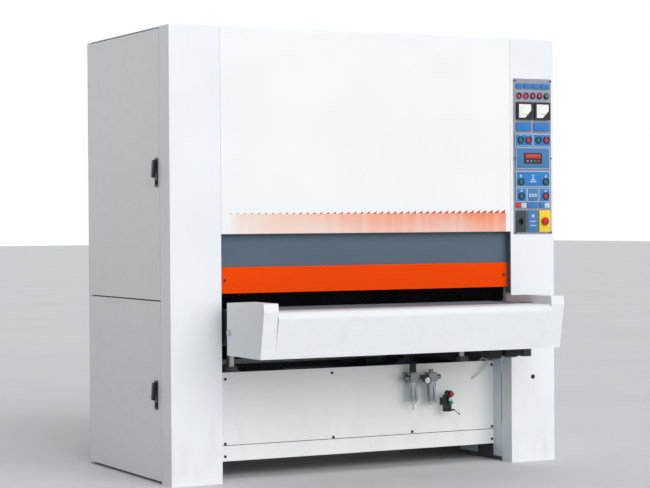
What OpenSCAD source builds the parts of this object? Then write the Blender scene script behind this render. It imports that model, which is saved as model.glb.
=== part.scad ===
// Wide belt sander with two sanding heads over a lifting feed table.
// X runs to the right as seen from the infeed side, Y runs along the feed and Z up from the floor.

/* [Machine] */
// Width over the two columns
body_w = 2030; // [1990:5:2080]
// Depth of the columns along the feed
body_d = 1020; // [1010:5:1060]
// Height of the columns above the floor
body_h = 2050; // [2040:5:2120]
// Width of one column
column_w = 247; // [244:1:262]
// Thickness of the cover sheets
sheet = 3; // [2.5:0.5:3]
// Gap between neighbouring covers and doors
cover_gap = 3; // [2:0.5:4]
// Depth of the front casing's outer flange
outer_flange = 113; // [108:1:125]
// Depth of the casings' inner flanges
inner_flange = 88; // [80:1:95]
// Thickness of the two side frames
frame_t = 16; // [12:1:18]

/* [Fronts] */
// Height of the hood's lower edge above the floor
hood_z = 1120; // [1110:1:1150]
// Height of the guard frame's lower edge
guard_frame_z = 825; // [815:1:835]
// Depth of the guard behind the column fronts
guard_recess = 40; // [35:1:45]
// Height of the guard panel's lower edge
guard_panel_z = 852; // [850:1:856]
// Height of the guard panel's upper edge
guard_panel_top = 970; // [960:1:980]
// Depth of the base panel behind the column fronts
base_recess = 165; // [160:1:168]
// Height of the base panels' lower edge
base_panel_z = 78; // [70:1:80]
// Height of the seam between a base panel and its skirting
base_seam_z = 150; // [146:1:155]
// Height of the base panels' upper edge
base_panel_top = 485; // [480:1:487]

/* [Doors] */
// Height of the seam between the upper and the lower door
door_seam_z = 822; // [815:1:830]
// Distance from the top of a door to the top of the machine
door_drop = 8; // [8:1:12]
// Depth of a door's folded edge
door_depth = 22; // [18:1:23]
// Length of a door handle's plate
handle_plate_l = 130; // [126:1:140]
// Width of a door handle's plate
handle_plate_w = 32; // [30:1:38]

/* [Table] */
// Height of the feed belt's surface
table_z = 785; // [780:1:788]
// Reach of the table beyond the columns
table_reach = 448; // [440:1:460]
// Distance from the feed belt's edge to the column's inner wall
feed_margin = 103; // [101:1:110]
// Thickness of the feed belt
feed_belt_t = 4; // [3:0.5:4]
// Radius of the two feed drums
drum_r = 60; // [56:1:62]
// Height of the table covers' bent sheet
cover_h = 205; // [200:1:208]
// Rise of the end blocks above the belt
block_rise = 37; // [30:1:40]
// Width of an end block
block_w = 70; // [66:1:72]
// Radius of the lip's nose
nose_r = 30; // [24:1:34]
// Radius of a lift screw
lift_screw_r = 20; // [16:1:20]

/* [Sanding heads] */
// Height of the sanding line
sand_z = 850; // [848:1:852]
// Distance from a sanding belt's edge to the column's inner wall
sand_margin = 103; // [100:1:115]
// Thickness of the sanding belts
sand_belt_t = 1.2; // [1:0.1:1.5]
// Radius of the first head's contact roller
contact_r_1 = 120; // [114:1:124]
// Radius of the second head's contact roller
contact_r_2 = 100; // [95:1:102]
// Radius of the tension rollers
tension_r = 80; // [76:1:82]
// Distance from the tension rollers' axis to the top of the machine
tension_drop = 300; // [290:1:310]
// Radius of the pressure rollers
pressure_r = 35; // [30:1:35]

/* [Drives] */
// Radius of a main motor over its fins
motor_r = 140; // [132:1:146]
// Radius of the pulleys on the main motors
motor_pulley_r = 85; // [75:1:90]
// Radius of the pulleys on the contact rollers
roller_pulley_r = 70; // [60:1:75]
// Width of a drive belt
drive_belt_w = 46; // [40:1:50]

/* [Control panel] */
// Width of the control panel
panel_w = 217; // [214:1:219]
// Height of the control panel
panel_h = 754; // [750:1:760]
// Distance from the control panel's lower edge to the top of the machine
panel_drop = 944; // [930:1:950]
// Radius of a push button
button_r = 11; // [9:0.5:12]
// Travel of a push button
button_travel = 4; // [3:0.5:4]

/* [Hidden] */
$fn = 48;

// Overrun of every cut beyond the face that it leaves
over = 5;
// Width of a small step or shoulder
step = 5;
// Height of a fine edge
edge = 1;
// Radial clearance of a running fit
fit = 0.05;
// Gap between a loose round face and what it turns in
turn_gap = 0.3;

// Planes of the columns
half_w = body_w / 2;
half_d = body_d / 2;
inner_x = half_w - column_w;
front_y = -half_d;
rear_y = half_d;

// Side frames, which stand on the foot plates
foot_t = 20;
foot_edge = 40;
feed_belt_w = 2 * (inner_x - feed_margin);
sand_belt_w = 2 * (inner_x - sand_margin);
tension_z = body_h - tension_drop;
panel_z = body_h - panel_drop;
base_y0 = front_y + base_recess;
rear_recess = 55;
panel_fold = 18;
base_y1 = rear_y - rear_recess;
frame_y1 = half_d - inner_flange - turn_gap;
frame_y0 = -frame_y1;
frame_x1 = inner_x + frame_t;
frame_top = body_h - sheet;
slot_z0 = 182;
slot_z1 = 435;
slot_depth = 7;

// Places of the two sanding heads along the feed
contact_y_1 = -200;
contact_y_2 = 150;
tension_y_1 = contact_y_1;
tension_y_2 = 200;
contact_z_1 = sand_z + sand_belt_t + turn_gap + contact_r_1;
contact_z_2 = sand_z + sand_belt_t + turn_gap + contact_r_2;
platen_corner_y = 320;
platen_corner_r = 15;
platen_w = 68;
platen_h = 108;
platen_pad_t = 7;

// Wheels that each sanding belt runs round: place along the feed, height and radius
wheels_1 = [[contact_y_1, contact_z_1, contact_r_1], [tension_y_1, tension_z, tension_r]];
wheels_2 = [[contact_y_2, contact_z_2, contact_r_2],
    [platen_corner_y, sand_z + sand_belt_t + turn_gap + platen_corner_r, platen_corner_r],
    [tension_y_2, tension_z, tension_r]];

// Belt-change windows in the side frames
window_margin = 14;
window_z0 = sand_z - window_margin;
window_z1 = tension_z + tension_r + sand_belt_t + window_margin;
window_y = [contact_y_1 - contact_r_1 - window_margin, contact_y_1 + contact_r_1 + window_margin,
    contact_y_2 - contact_r_2 - window_margin, platen_corner_y + platen_corner_r + window_margin];

// Rollers: face, journals and the end plates that carry them
roller_half = sand_belt_w / 2 + step;
journal_r = 30;
shaft_room = 10;
plate_t = 20;
plate_gap = 26;
plate_x1 = inner_x - plate_gap;
plate_x0 = plate_x1 - plate_t;
bearing_t = 22;
bearing_r = 55;
beam_half = 60;
beam_drop = 380;
beam_h = 160;
beam_z1 = tension_z - beam_drop;
beam_z0 = beam_z1 - beam_h;
beam_wall = 8;
lock_h = 60;
lock_z0 = beam_z0 + (beam_h - lock_h) / 2;
lock_z1 = lock_z0 + lock_h;
lock_grip_r = 10;
lock_grip_l = 90;

// Tension yoke and its cylinder
yoke_drop = 150;
yoke_z0 = tension_z - yoke_drop;
yoke_h = 45;
yoke_half = 35;
yoke_arm_t = 24;
yoke_journal_r = 20;
cylinder_r = 40;
cylinder_h = 150;
cylinder_base = 30;
cylinder_top = beam_z1 + cylinder_h;
cylinder_floor = beam_z1 + cylinder_base;
rod_r = 12.5;
tension_travel = 30;
rod_end = cylinder_floor + tension_travel + 2 * step;
guide_x = 250;
guide_reach = 70;
guide_end = beam_z1 - guide_reach;
bush_r = 25;
bush_h = 60;

// Pressure rollers
pressure_inset = [22, 27];
pressure_y = [frame_y0 + pressure_inset[0], frame_y1 - pressure_inset[1]];
pressure_bite = 1;
pressure_z = sand_z + pressure_r - pressure_bite;
pressure_end = 33;
pressure_half = inner_x - pressure_end;
pressure_journal_r = 12;
pressure_block = [23, 44, 60];

// Base
beam_bottom = 82;
foot_beam_h = 40;
foot_beam_w = [142, 140, 152];
middle_beam_y = -30;
foot_beams = [[base_y0 + sheet, base_y0 + sheet + foot_beam_w[0]],
    [middle_beam_y, middle_beam_y + foot_beam_w[1]],
    [base_y1 - sheet - foot_beam_w[2], base_y1 - sheet]];
deck_z1 = 460;
deck_t = 18;
deck_window_x = 500;
deck_window_y = [foot_beams[0][1], foot_beams[2][0]];
post = 60;
anchor_r = 9;
anchor_inset = 130;
anchor_x = half_w - anchor_inset;
anchor_end = 130;
anchor_y = [front_y + anchor_end, 0, rear_y - anchor_end];

// Screw jacks and their cross shafts
jack_gap = 146;
jack_x = inner_x - jack_gap;
jack_inset = [62, 80];
jack_y = [base_y0 + jack_inset[0], base_y1 - jack_inset[1]];
jack_half = 46;
jack_h = 48;
jack_top = deck_z1 + jack_h;
jack_flange_t = 12;
jack_box_h = 60;
jack_neck_r = 34;
worm_offset = 42;
worm_z = deck_z1 - jack_h;
worm_r = 12;
worm_gap = 78;
worm_end = inner_x - worm_gap;
chain_case_x = -420;
chain_case_t = 40;
chain_case_half = 30;
lift_motor_r = 55;
lift_motor_l = 200;

// Table
drum_inset = 223;
drum_y = front_y - table_reach + drum_inset;
drum_half = feed_belt_w / 2 + step;
drum_z = table_z - feed_belt_t - turn_gap - drum_r;
drum_journal_r = 20;
drum_bearing_t = 14;
rail_gap = 25;
rail_wall_gap = 18;
rail_h = 159;
rail_x0 = feed_belt_w / 2 + rail_gap;
rail_x1 = inner_x - rail_wall_gap;
rail_z0 = table_z - feed_belt_t - rail_h;
rail_wall = 8;
rail_end = 55;
bed_plate_t = 16;
bed_plate_gap = 95;
bed_plate_y = -drum_y - bed_plate_gap;
bed_rib_h = 38;
bed_rib_t = 10;
bed_ribs = 7;
cross_beam_drop = 7;
cross_beam_z0 = rail_z0 - cross_beam_drop;
cross_beam_h = 35;
cross_beam_half = 45;
shoe_y = jack_y[0] - 3 * step;
shoe_half = 35;
shoe_t = 5;
shoe_z0 = cross_beam_z0 + cross_beam_h;
shoe_h = 110;
guide_bar_t = 12;
guide_bar_z0 = 500;
guide_bar_z1 = sand_z - guide_bar_t - step;
table_up = 62;
table_down = 90;
screw_flange_t = 12;
screw_flange_r = 45;
screw_l = 243;

// Table covers
cover_half = inner_x + sheet;
cover_front = front_y - table_reach;
cover_rear_gap = 65;
cover_rear = front_y - cover_rear_gap;
cover_lean = 40;
cover_z0 = table_z - cover_h;
lip_depth = 153;
lip_rear = cover_front + lip_depth;
block_z = table_z + block_rise;
block_kink = 8;
block_kink_gap = 217;
block_kink_y = front_y - block_kink_gap;
cover_mount_gap = 90;
cover_mount_y = drum_y + cover_mount_gap;
cover_mount_half = 30;
cover_mount_h = 60;
cover_mount_z0 = cover_z0 + cover_mount_h;
cover_bolt_r = 13;
cover_bolt_t = 10;

// Gear motor of the feed drum
gear_half = 62;
gear_w = 112;
gear_z0 = 640;
gear_z1 = 800;
gear_motor_r = 54;
gear_motor_l = 190;
gear_bore_r = 20;
gear_fins = 16;

// Main motors and their pulleys
motor_shift = [-160, 135];
motor_y = [for (shift = motor_shift) (base_y0 + base_y1) / 2 + shift];
motor_z = 282;
motor_l = 490;
motor_gap = 28;
motor_x1 = inner_x - motor_gap;
motor_x0 = motor_x1 - motor_l;
motor_fin_h = 20;
motor_core_r = motor_r - motor_fin_h;
motor_fins = 20;
motor_fin_t = 5;
motor_cowl_l = 80;
motor_face_t = 18;
motor_shaft_r = 24;
motor_box = [120, 100, 78];
motor_box_inset = 70;
motor_box_x = motor_x0 + motor_box_inset;
motor_foot = [60, 250, 18];
pulley_gap = 82;
pulley_x0 = inner_x + pulley_gap;
pulley_rim = 8;
pulley_rim_t = 3;
pulley_w = drive_belt_w + 2 * (pulley_rim_t + turn_gap);
drive_belt_t = 9;
shaft_end = pulley_x0 + pulley_w + step;

// Doors and their pivots
door_front_y = front_y + outer_flange + cover_gap;
door_rear_gap = 7;
door_rear_y = rear_y - door_rear_gap;
hinge_inset = 12;
hinge_x = half_w - hinge_inset;
hinge_back = 30;
hinge_y = rear_y - hinge_back;
pivot_r = 5;
pivot_l = 18;
pivot_plate_t = 4;
pivot_gap = 1;
boss_r = 11;
boss_l = 16;
door_split = pivot_plate_t / 2 + pivot_gap;
door_top_z = body_h - door_drop;
door_bottom_z = 13;
handle_inset = [147, 166];
handle_y_upper = front_y + handle_inset[0];
handle_y_lower = front_y + handle_inset[1];
handle_rise = 576;
handle_z_upper = door_seam_z + handle_rise;
handle_z_lower = 398;
handle_plate_t = 5;
lever_l = 84;
lever_w = 24;
lever_t = 14;
lever_lift = 1;
lever_pivot_drop = 20;
spindle_r = 6;
cam_l = 24;
cam_w = 16;
cam_t = 4;
lock_r = 9;
lock_drop = 44;
lock_t = 7;

// Rear hood and its spigots
rear_hood_z = 862;
rear_hood_depth = 40;
spigot_x = 350;
spigot_drop = 350;
spigot_z = body_h - spigot_drop;
spigot_r = 100;
spigot_l = 120;
spigot_wall = 2;

// Control panel: places of its instruments from its lower left corner
panel_inset = 17;
panel_x0 = inner_x + panel_inset;
panel_t = 3;
cutout_edge = 10;
bezel_r = 15;
bezel_t = 6;
button_cap = 9;
collar_r = 13;
collar_t = 2;
head_1_start = [36, 457];
head_1_stop = [81, 457];
head_2_start = [138, 458];
head_2_stop = [185, 458];
table_up_place = [37, 254];
table_down_place = [181, 254];
feed_start_place = [39, 185];
feed_stop_place = [180, 185];
lamp_places = [[28, 669], [68, 670], [108, 671], [148, 672], [190, 673]];
lamp_r = 10;
lamp_t = 7;
meter_places = [[14, 555], [115, 555]];
meter_size = [89, 84];
meter_t = 14;
meter_back = 50;
display_place = [55, 342];
display_size = [103, 52];
display_t = 8;
selector_place = [38, 62];
selector_r = 15;
selector_t = 8;
selector_grip = [8, 26, 14];
stop_place = [172, 62];
stop_r = 20;
stop_stem_r = 8;
stop_plate = [60, 60];
stop_plate_t = 2;

// Air service unit
air_recess = 110;
air_y = front_y + air_recess;
filter_x = 281;
lubricator_gap = 100;
lubricator_x = filter_x + lubricator_gap;
air_body = [46, 44, 44];
air_body_z = 402;
bowl_r = 17;
filter_bowl_z = 300;
lubricator_bowl_z = 290;
bowl_neck_r = 21;
drain_r = 5;
drain_z = 270;
knob_r = 16;
knob_h = 44;
knob_base_r = 19;
knob_stem_r = 8;
knob_grooves = 12;
sight_r = 11;
sight_z = 462;
port_r = 12;
port_l = 26;
gauge_shift = 53;
gauge_x = filter_x + gauge_shift;
gauge_z = 413;
gauge_r = 19;
gauge_t = 22;
air_bracket_t = 4;
air_bracket_w = 60;

// Hand valve
valve_x = 470;
valve_z = 300;
valve_body = [30, 34, 70];
valve_head_r = 16;
valve_head_z = 341;
valve_button_r = 11;
valve_button_t = 8;
valve_stem_r = 5;
valve_travel = 5;
valve_base_r = 22;
valve_base_h = 10;
valve_lever_r = 4;
valve_lever_l = 40;

// Air hoses: the points that each one passes, chosen by hand
hose_r = 4;
hose_corner = [inner_x, base_y0, base_panel_top];
white_steps = [[-123, 0, -81], [-123, -12, -81], [-118, -19, -76], [-100, -27, -61], [-78, -31, -41], [-60, -29, -23],
    [-48, -21, -3], [-46, -5, 11], [-54, 13, 13], [-64, 27, 1], [-66, 32, -11], [-66, 32, -25]];
blue_steps = [[0, -117, 40], [-8, -117, 40], [-14, -116, 33], [-17, -112, 22], [-17, -106, 8], [-14, -100, -4],
    [-8, -93, -13], [0, -93, -13]];
hose_sides = 8;

// Sides of a belt's bend
loop_sides = 96;

// Shapes
module box(lo, hi) translate(lo) cube(hi - lo);
module rod_x(r, x0, x1, y, z) translate([x0, y, z]) rotate([0, 90, 0]) cylinder(r = r, h = x1 - x0);
module rod_y(r, y0, y1, x, z) translate([x, y0, z]) rotate([-90, 0, 0]) cylinder(r = r, h = y1 - y0);
module rod_z(r, z0, z1, x, y) translate([x, y, z0]) cylinder(r = r, h = z1 - z0);
module both_sides() for (side = [0, 1]) mirror([side, 0, 0]) children();
module across(x0, x1) translate([x0, 0, 0]) rotate([90, 0, 90]) linear_extrude(x1 - x0) children();

// A rectangular tube along X with closed walls and open ends
module tube_x(x0, x1, y0, y1, z0, z1, wall) difference() {
    box([x0, y0, z0], [x1, y1, z1]);
    box([x0 - over, y0 + wall, z0 + wall], [x1 + over, y1 - wall, z1 - wall]);
}

// A belt's outline round a list of wheels
function grown(wheels, by) = [for (wheel = wheels) [wheel[0], wheel[1], wheel[2] + by]];
module loop_outline(wheels) hull() for (wheel = wheels)
    translate([wheel[0], wheel[1]]) circle(r = wheel[2], $fn = loop_sides);
module belt_loop(wheels, thickness, x0, x1) across(x0, x1) difference() {
    loop_outline(grown(wheels, turn_gap + thickness));
    loop_outline(grown(wheels, turn_gap));
}

// A hose swept along its points as one closed skin
function laid(steps) = [for (place = steps) hose_corner + place];
function unit(v) = v / norm(v);
function way_at(path, i) = unit(path[min(i + 1, len(path) - 1)] - path[max(i - 1, 0)]);
function ring_at(path, i, r) = let (
    way = way_at(path, i),
    side = unit(cross(way, [0.1, 1, 0.2])),
    top = cross(way, side))
    [for (k = [0 : hose_sides - 1]) path[i] + r * (cos(360 * k / hose_sides) * side + sin(360 * k / hose_sides) * top)];
module hose(path, r) {
    rings = len(path);
    points = [for (i = [0 : rings - 1]) each ring_at(path, i, r)];
    last = (rings - 1) * hose_sides;
    sides = [for (i = [0 : rings - 2], k = [0 : hose_sides - 1])
        let (a = i * hose_sides + k, b = i * hose_sides + (k + 1) % hose_sides)
        each [[a, a + hose_sides, b], [b, a + hose_sides, b + hose_sides]]];
    caps = [for (k = [1 : hose_sides - 2]) each [[0, k, k + 1], [last, last + k + 1, last + k]]];
    polyhedron(points, concat(sides, caps), convexity = 4);
}

// Welded base: foot plates, cross beams, posts and the deck that carries the jacks
module foot_beam(span) tube_x(-inner_x, inner_x, span[0], span[1], beam_bottom, beam_bottom + foot_beam_h, sheet * 2);
module base_frame() color("dimgray") {
    both_sides() difference() {
        union() {
            box([inner_x + sheet, front_y + sheet, 0], [half_w - foot_edge, rear_y - sheet, foot_t]);
            box([inner_x, frame_y0, 0], [frame_x1, frame_y1, foot_t]);
        }
        for (y = anchor_y) rod_z(anchor_r, -over, foot_t + over, anchor_x, y);
    }
    both_sides() for (span = foot_beams)
        box([inner_x, span[0], foot_t], [frame_x1, min(span[1], frame_y1), beam_bottom + foot_beam_h]);
    for (span = foot_beams) foot_beam(span);
    both_sides() for (y = [base_y0 + sheet, base_y1 - sheet - post])
        box([inner_x - post, y, beam_bottom + foot_beam_h], [inner_x, y + post, deck_z1 - deck_t]);
    difference() {
        box([-inner_x, base_y0 + sheet, deck_z1 - deck_t], [inner_x, base_y1 - sheet, deck_z1]);
        box([-deck_window_x, deck_window_y[0], deck_z1 - deck_t - over], [deck_window_x, deck_window_y[1], deck_z1 + over]);
        both_sides() for (y = jack_y) rod_z(jack_neck_r, deck_z1 - deck_t - over, deck_z1 + over, jack_x, y);
    }
}

// Side frames with the belt-change windows, the motor window and the shaft holes
module side_frame_blank() difference() {
    box([inner_x, frame_y0, foot_t], [frame_x1, frame_y1, frame_top]);
    for (span = foot_beams)
        box([inner_x - over, span[0], foot_t - over], [frame_x1 + over, span[1], beam_bottom + foot_beam_h]);
    box([inner_x - over, frame_y0 - over, slot_z0], [frame_x1 + over, frame_y0 + slot_depth, slot_z1]);
}
module side_frames() color("dimgray") {
    mirror([1, 0, 0]) {
        difference() {
            side_frame_blank();
            for (i = [0, 2])
                box([inner_x - over, window_y[i], window_z0], [frame_x1 + over, window_y[i + 1], window_z1]);
            box([inner_x - over, foot_beams[0][1], beam_bottom + 2 * foot_beam_h],
                [frame_x1 + over, foot_beams[2][0], deck_z1 - deck_t - foot_beam_h]);
        }
        guide_bar();
    }
    difference() {
        side_frame_blank();
        rod_x(journal_r + shaft_room, inner_x - over, frame_x1 + over, contact_y_1, contact_z_1);
        rod_x(journal_r + shaft_room, inner_x - over, frame_x1 + over, contact_y_2, contact_z_2);
        for (y = motor_y) rod_x(motor_shaft_r + shaft_room, inner_x - over, frame_x1 + over, y, motor_z);
    }
    guide_bar();
}
module guide_bar() box([inner_x - guide_bar_t, shoe_y - shoe_half / 2, guide_bar_z0],
    [inner_x, shoe_y + shoe_half / 2, guide_bar_z1]);

// Corner casings: folded sheets in front of and behind the side frames, with the door pivots on the left rear one
module casing_sheet(flange) {
    box([inner_x, front_y, 0], [half_w, front_y + sheet, body_h]);
    box([half_w - sheet, front_y, 0], [half_w, front_y + flange, body_h]);
    box([inner_x, front_y, 0], [inner_x + sheet, front_y + inner_flange, frame_top]);
    box([inner_x, front_y, frame_top], [inner_x + sheet, front_y + sheet, body_h]);
}
module pivot_plate(z0) box([hinge_x - 2 * boss_r, hinge_y - boss_r - cover_gap, z0],
    [half_w - sheet + edge, rear_y, z0 + pivot_plate_t]);
module pivot_pin(z0, z1) rod_z(pivot_r, z0, z1, hinge_x, hinge_y);
module corner_casings() color("white") {
    mirror([1, 0, 0]) casing_sheet(outer_flange);
    difference() {
        casing_sheet(outer_flange);
        box([panel_x0 + cutout_edge, front_y - over, panel_z + cutout_edge],
            [panel_x0 + panel_w - cutout_edge, front_y + sheet + over, panel_z + panel_h - cutout_edge]);
    }
    mirror([0, 1, 0]) casing_sheet(sheet);
    mirror([1, 0, 0]) {
        mirror([0, 1, 0]) casing_sheet(sheet);
        pivot_plate(door_bottom_z - pivot_gap - pivot_plate_t);
        pivot_pin(door_bottom_z - pivot_gap, door_bottom_z + pivot_l);
        pivot_plate(door_seam_z - pivot_plate_t / 2);
        pivot_pin(door_seam_z - door_split - pivot_l, door_seam_z + door_split + pivot_l);
        pivot_plate(door_top_z + pivot_gap);
        pivot_pin(door_top_z - pivot_l, door_top_z + pivot_gap);
    }
}

// Front hood, a tray between the casings under the roof
module front_hood() color("white") difference() {
    union() {
        box([-inner_x + cover_gap / 2, front_y, hood_z], [inner_x - cover_gap / 2, front_y + sheet, frame_top]);
        box([-inner_x, front_y + sheet, hood_z], [inner_x, front_y + guard_recess, frame_top]);
    }
    box([-inner_x + sheet, front_y + sheet, hood_z + sheet],
        [inner_x - sheet, front_y + guard_recess + over, frame_top - sheet]);
}

// Slate guard frame and the guard panel that is screwed on it
module guard_frame() color("slategray") {
    box([-inner_x, front_y + guard_recess, guard_panel_top - 2 * cutout_edge],
        [inner_x, front_y + guard_recess + sheet, hood_z]);
    both_sides() box([inner_x - sheet, front_y + sheet, guard_frame_z],
        [inner_x, front_y + guard_recess + sheet, hood_z]);
    box([-inner_x, front_y + 2 * sheet, hood_z - sheet], [inner_x, front_y + guard_recess, hood_z]);
}
guard_panel_t = 10;
module guard_panel() color("orangered") difference() {
    box([-inner_x + sheet, front_y + guard_recess - guard_panel_t, guard_panel_z],
        [inner_x - sheet, front_y + guard_recess, guard_panel_top]);
    box([-inner_x + 2 * sheet, front_y + guard_recess - guard_panel_t + sheet, guard_panel_z + sheet],
        [inner_x - 2 * sheet, front_y + guard_recess + over, guard_panel_top - sheet]);
}

// Base panels and skirtings, front and rear
module base_panel(z0, z1, fold) {
    box([-inner_x, base_y0, z0], [inner_x, base_y0 + sheet, z1]);
    if (fold) box([-inner_x, base_y0, z1 - sheet], [inner_x, base_y0 + panel_fold, z1]);
}
module base_panels() color("whitesmoke") {
    base_panel(base_seam_z + cover_gap / 2, base_panel_top, true);
    base_panel(base_panel_z, base_seam_z - cover_gap / 2, false);
    translate([0, base_y0 + base_y1, 0]) mirror([0, 1, 0]) {
        base_panel(base_seam_z + cover_gap / 2, base_panel_top, true);
        base_panel(base_panel_z, base_seam_z - cover_gap / 2, false);
    }
}

// Rear hood with its dust spigots, and the roof
module rear_hood() color("white") {
    difference() {
        union() {
            difference() {
                union() {
                    box([-inner_x + cover_gap / 2, rear_y - sheet, rear_hood_z],
                        [inner_x - cover_gap / 2, rear_y, frame_top]);
                    box([-inner_x, rear_y - rear_hood_depth, rear_hood_z], [inner_x, rear_y - sheet, frame_top]);
                }
                box([-inner_x + sheet, rear_y - rear_hood_depth - over, rear_hood_z + sheet],
                    [inner_x - sheet, rear_y - sheet, frame_top - sheet]);
            }
            both_sides() rod_y(spigot_r, rear_y - sheet, rear_y + spigot_l, spigot_x, spigot_z);
        }
        both_sides() rod_y(spigot_r - spigot_wall, rear_y - sheet - over, rear_y + spigot_l + over, spigot_x, spigot_z);
    }
    box([-half_w + sheet, front_y + sheet, frame_top], [half_w - sheet, rear_y - sheet, body_h]);
}

// Fixed covers over the drive side
module side_tray(z0, z1) difference() {
    box([half_w - door_depth, door_front_y, z0], [half_w, door_rear_y, z1]);
    box([half_w - door_depth - over, door_front_y + sheet, z0 + sheet], [half_w - sheet, door_rear_y - sheet, z1 - sheet]);
}
module side_cover(z0, z1) {
    side_tray(z0, z1);
    box([half_w - 2 * sheet, door_front_y - 4 * cover_gap, z0 + foot_t], [half_w - sheet, door_front_y + sheet, z1 - foot_t]);
    box([half_w - door_depth, door_rear_y - sheet, z0 + foot_t], [half_w - 2 * sheet, rear_y - sheet, z1 - foot_t]);
}
module right_side_covers() color("silver") {
    side_cover(door_bottom_z, door_seam_z - door_split);
    side_cover(door_seam_z + door_split, door_top_z);
}

// Head beams with their end plates, tension cylinders and belt-change locks
module end_plate(shape, contact_y, contact_z) across(plate_x0, plate_x1) difference() {
    union() {
        polygon(shape);
        translate([contact_y, contact_z]) circle(r = bearing_r);
    }
    translate([contact_y, contact_z]) circle(r = journal_r + turn_gap);
}
module head_beam(beam_y, shape, contact_y, contact_z, window) difference() {
    union() {
        tube_x(-plate_x0, plate_x0, beam_y - beam_half, beam_y + beam_half, beam_z0, beam_z1, beam_wall);
        both_sides() end_plate(shape, contact_y, contact_z);
        tube_x(plate_x1, inner_x, beam_y - beam_half, beam_y + beam_half, beam_z0, beam_z1, beam_wall);
        mirror([1, 0, 0]) {
            box([plate_x1, window[0], lock_z0], [frame_x1, window[1], lock_z1]);
            rod_x(lock_grip_r, frame_x1, frame_x1 + lock_grip_l, beam_y, (lock_z0 + lock_z1) / 2);
        }
        rod_z(cylinder_r, beam_z1, cylinder_top, 0, beam_y);
        both_sides() rod_z(bush_r, beam_z1, beam_z1 + bush_h, guide_x, beam_y);
    }
    rod_z(rod_r + fit, cylinder_floor, cylinder_top + over, 0, beam_y);
    both_sides() rod_z(rod_r + fit, beam_z1 - beam_wall - over, cylinder_top + over, guide_x, beam_y);
}
plate_shape_1 = [[tension_y_1 - beam_half, beam_z1], [contact_y_1 - bearing_r, contact_z_1],
    [contact_y_1 + bearing_r, contact_z_1], [tension_y_1 + beam_half, beam_z1]];
plate_shape_2 = [[tension_y_2 - beam_half, beam_z1], [contact_y_2 - bearing_r, contact_z_2],
    [contact_y_2, contact_z_2 - bearing_r], [platen_corner_y, contact_z_2 - bearing_r],
    [platen_corner_y, sand_z + platen_h], [tension_y_2 + beam_half, beam_z1]];
module head_beams() color("slategray") {
    head_beam(tension_y_1, plate_shape_1, contact_y_1, contact_z_1, [window_y[0], window_y[1]]);
    head_beam(tension_y_2, plate_shape_2, contact_y_2, contact_z_2, [window_y[2], window_y[3]]);
}

// Platen of the second head: a beam with a graphite pad on its foot
platen_z = sand_z + sand_belt_t + turn_gap;
platen_y0 = platen_corner_y + platen_corner_r - platen_w;
module platen() {
    color("slategray") box([-plate_x0, platen_y0, platen_z + platen_pad_t + platen_corner_r],
        [plate_x0, platen_corner_y, sand_z + platen_h]);
    color("black") across(-roller_half, roller_half) {
        translate([platen_corner_y, platen_z + platen_corner_r]) circle(r = platen_corner_r);
        translate([platen_y0, platen_z]) square([platen_corner_y - platen_y0, platen_corner_r + platen_pad_t]);
    }
}

// Flange bearings of the contact rollers and blocks of the pressure rollers
module flange_bearing(y, z) across(plate_x1, plate_x1 + bearing_t) difference() {
    translate([y, z]) circle(r = bearing_r - step);
    translate([y, z]) circle(r = journal_r + fit);
}
module pressure_holder(y) difference() {
    box([inner_x - pressure_block[0], y - pressure_block[1] / 2, pressure_z - pressure_block[1] / 2],
        [inner_x, y + pressure_block[1] / 2, pressure_z - pressure_block[1] / 2 + pressure_block[2]]);
    rod_x(pressure_journal_r + fit, inner_x - pressure_block[0] - over, inner_x + over, y, pressure_z);
}
module roller_bearings() color("dimgray") both_sides() {
    flange_bearing(contact_y_1, contact_z_1);
    flange_bearing(contact_y_2, contact_z_2);
    for (y = pressure_y) pressure_holder(y);
}

// Sanding belts and drive belts
module sanding_belts() color("saddlebrown") {
    belt_loop(wheels_1, sand_belt_t, -sand_belt_w / 2, sand_belt_w / 2);
    belt_loop(wheels_2, sand_belt_t, -sand_belt_w / 2, sand_belt_w / 2);
}
function drive_wheels(motor, y, z) = [[motor, motor_z, motor_pulley_r], [y, z, roller_pulley_r]];
module drive_belts() color("black") {
    belt_x = pulley_x0 + (pulley_w - drive_belt_w) / 2;
    belt_loop(drive_wheels(motor_y[0], contact_y_1, contact_z_1), drive_belt_t, belt_x, belt_x + drive_belt_w);
    belt_loop(drive_wheels(motor_y[1], contact_y_2, contact_z_2), drive_belt_t, belt_x, belt_x + drive_belt_w);
}

// Contact rollers with their shafts and pulleys
module belt_pulley(r, bore, y, z) across(pulley_x0, pulley_x0 + pulley_w) difference() {
    translate([y, z]) circle(r = r);
    translate([y, z]) circle(r = bore);
}
module pulley_rims(r, y, z) {
    for (x = [pulley_x0, pulley_x0 + pulley_w - pulley_rim_t])
        across(x, x + pulley_rim_t) difference() {
            translate([y, z]) circle(r = r + pulley_rim);
            translate([y, z]) circle(r = r - pulley_rim);
        }
}
module contact_roller(r, y, z) {
    color("black") rod_x(r, -roller_half, roller_half, y, z);
    color("silver") {
        rod_x(journal_r, -inner_x + turn_gap + sheet, -roller_half, y, z);
        rod_x(journal_r, roller_half, shaft_end, y, z);
        belt_pulley(roller_pulley_r, journal_r, y, z);
        pulley_rims(roller_pulley_r, y, z);
    }
}

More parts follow.
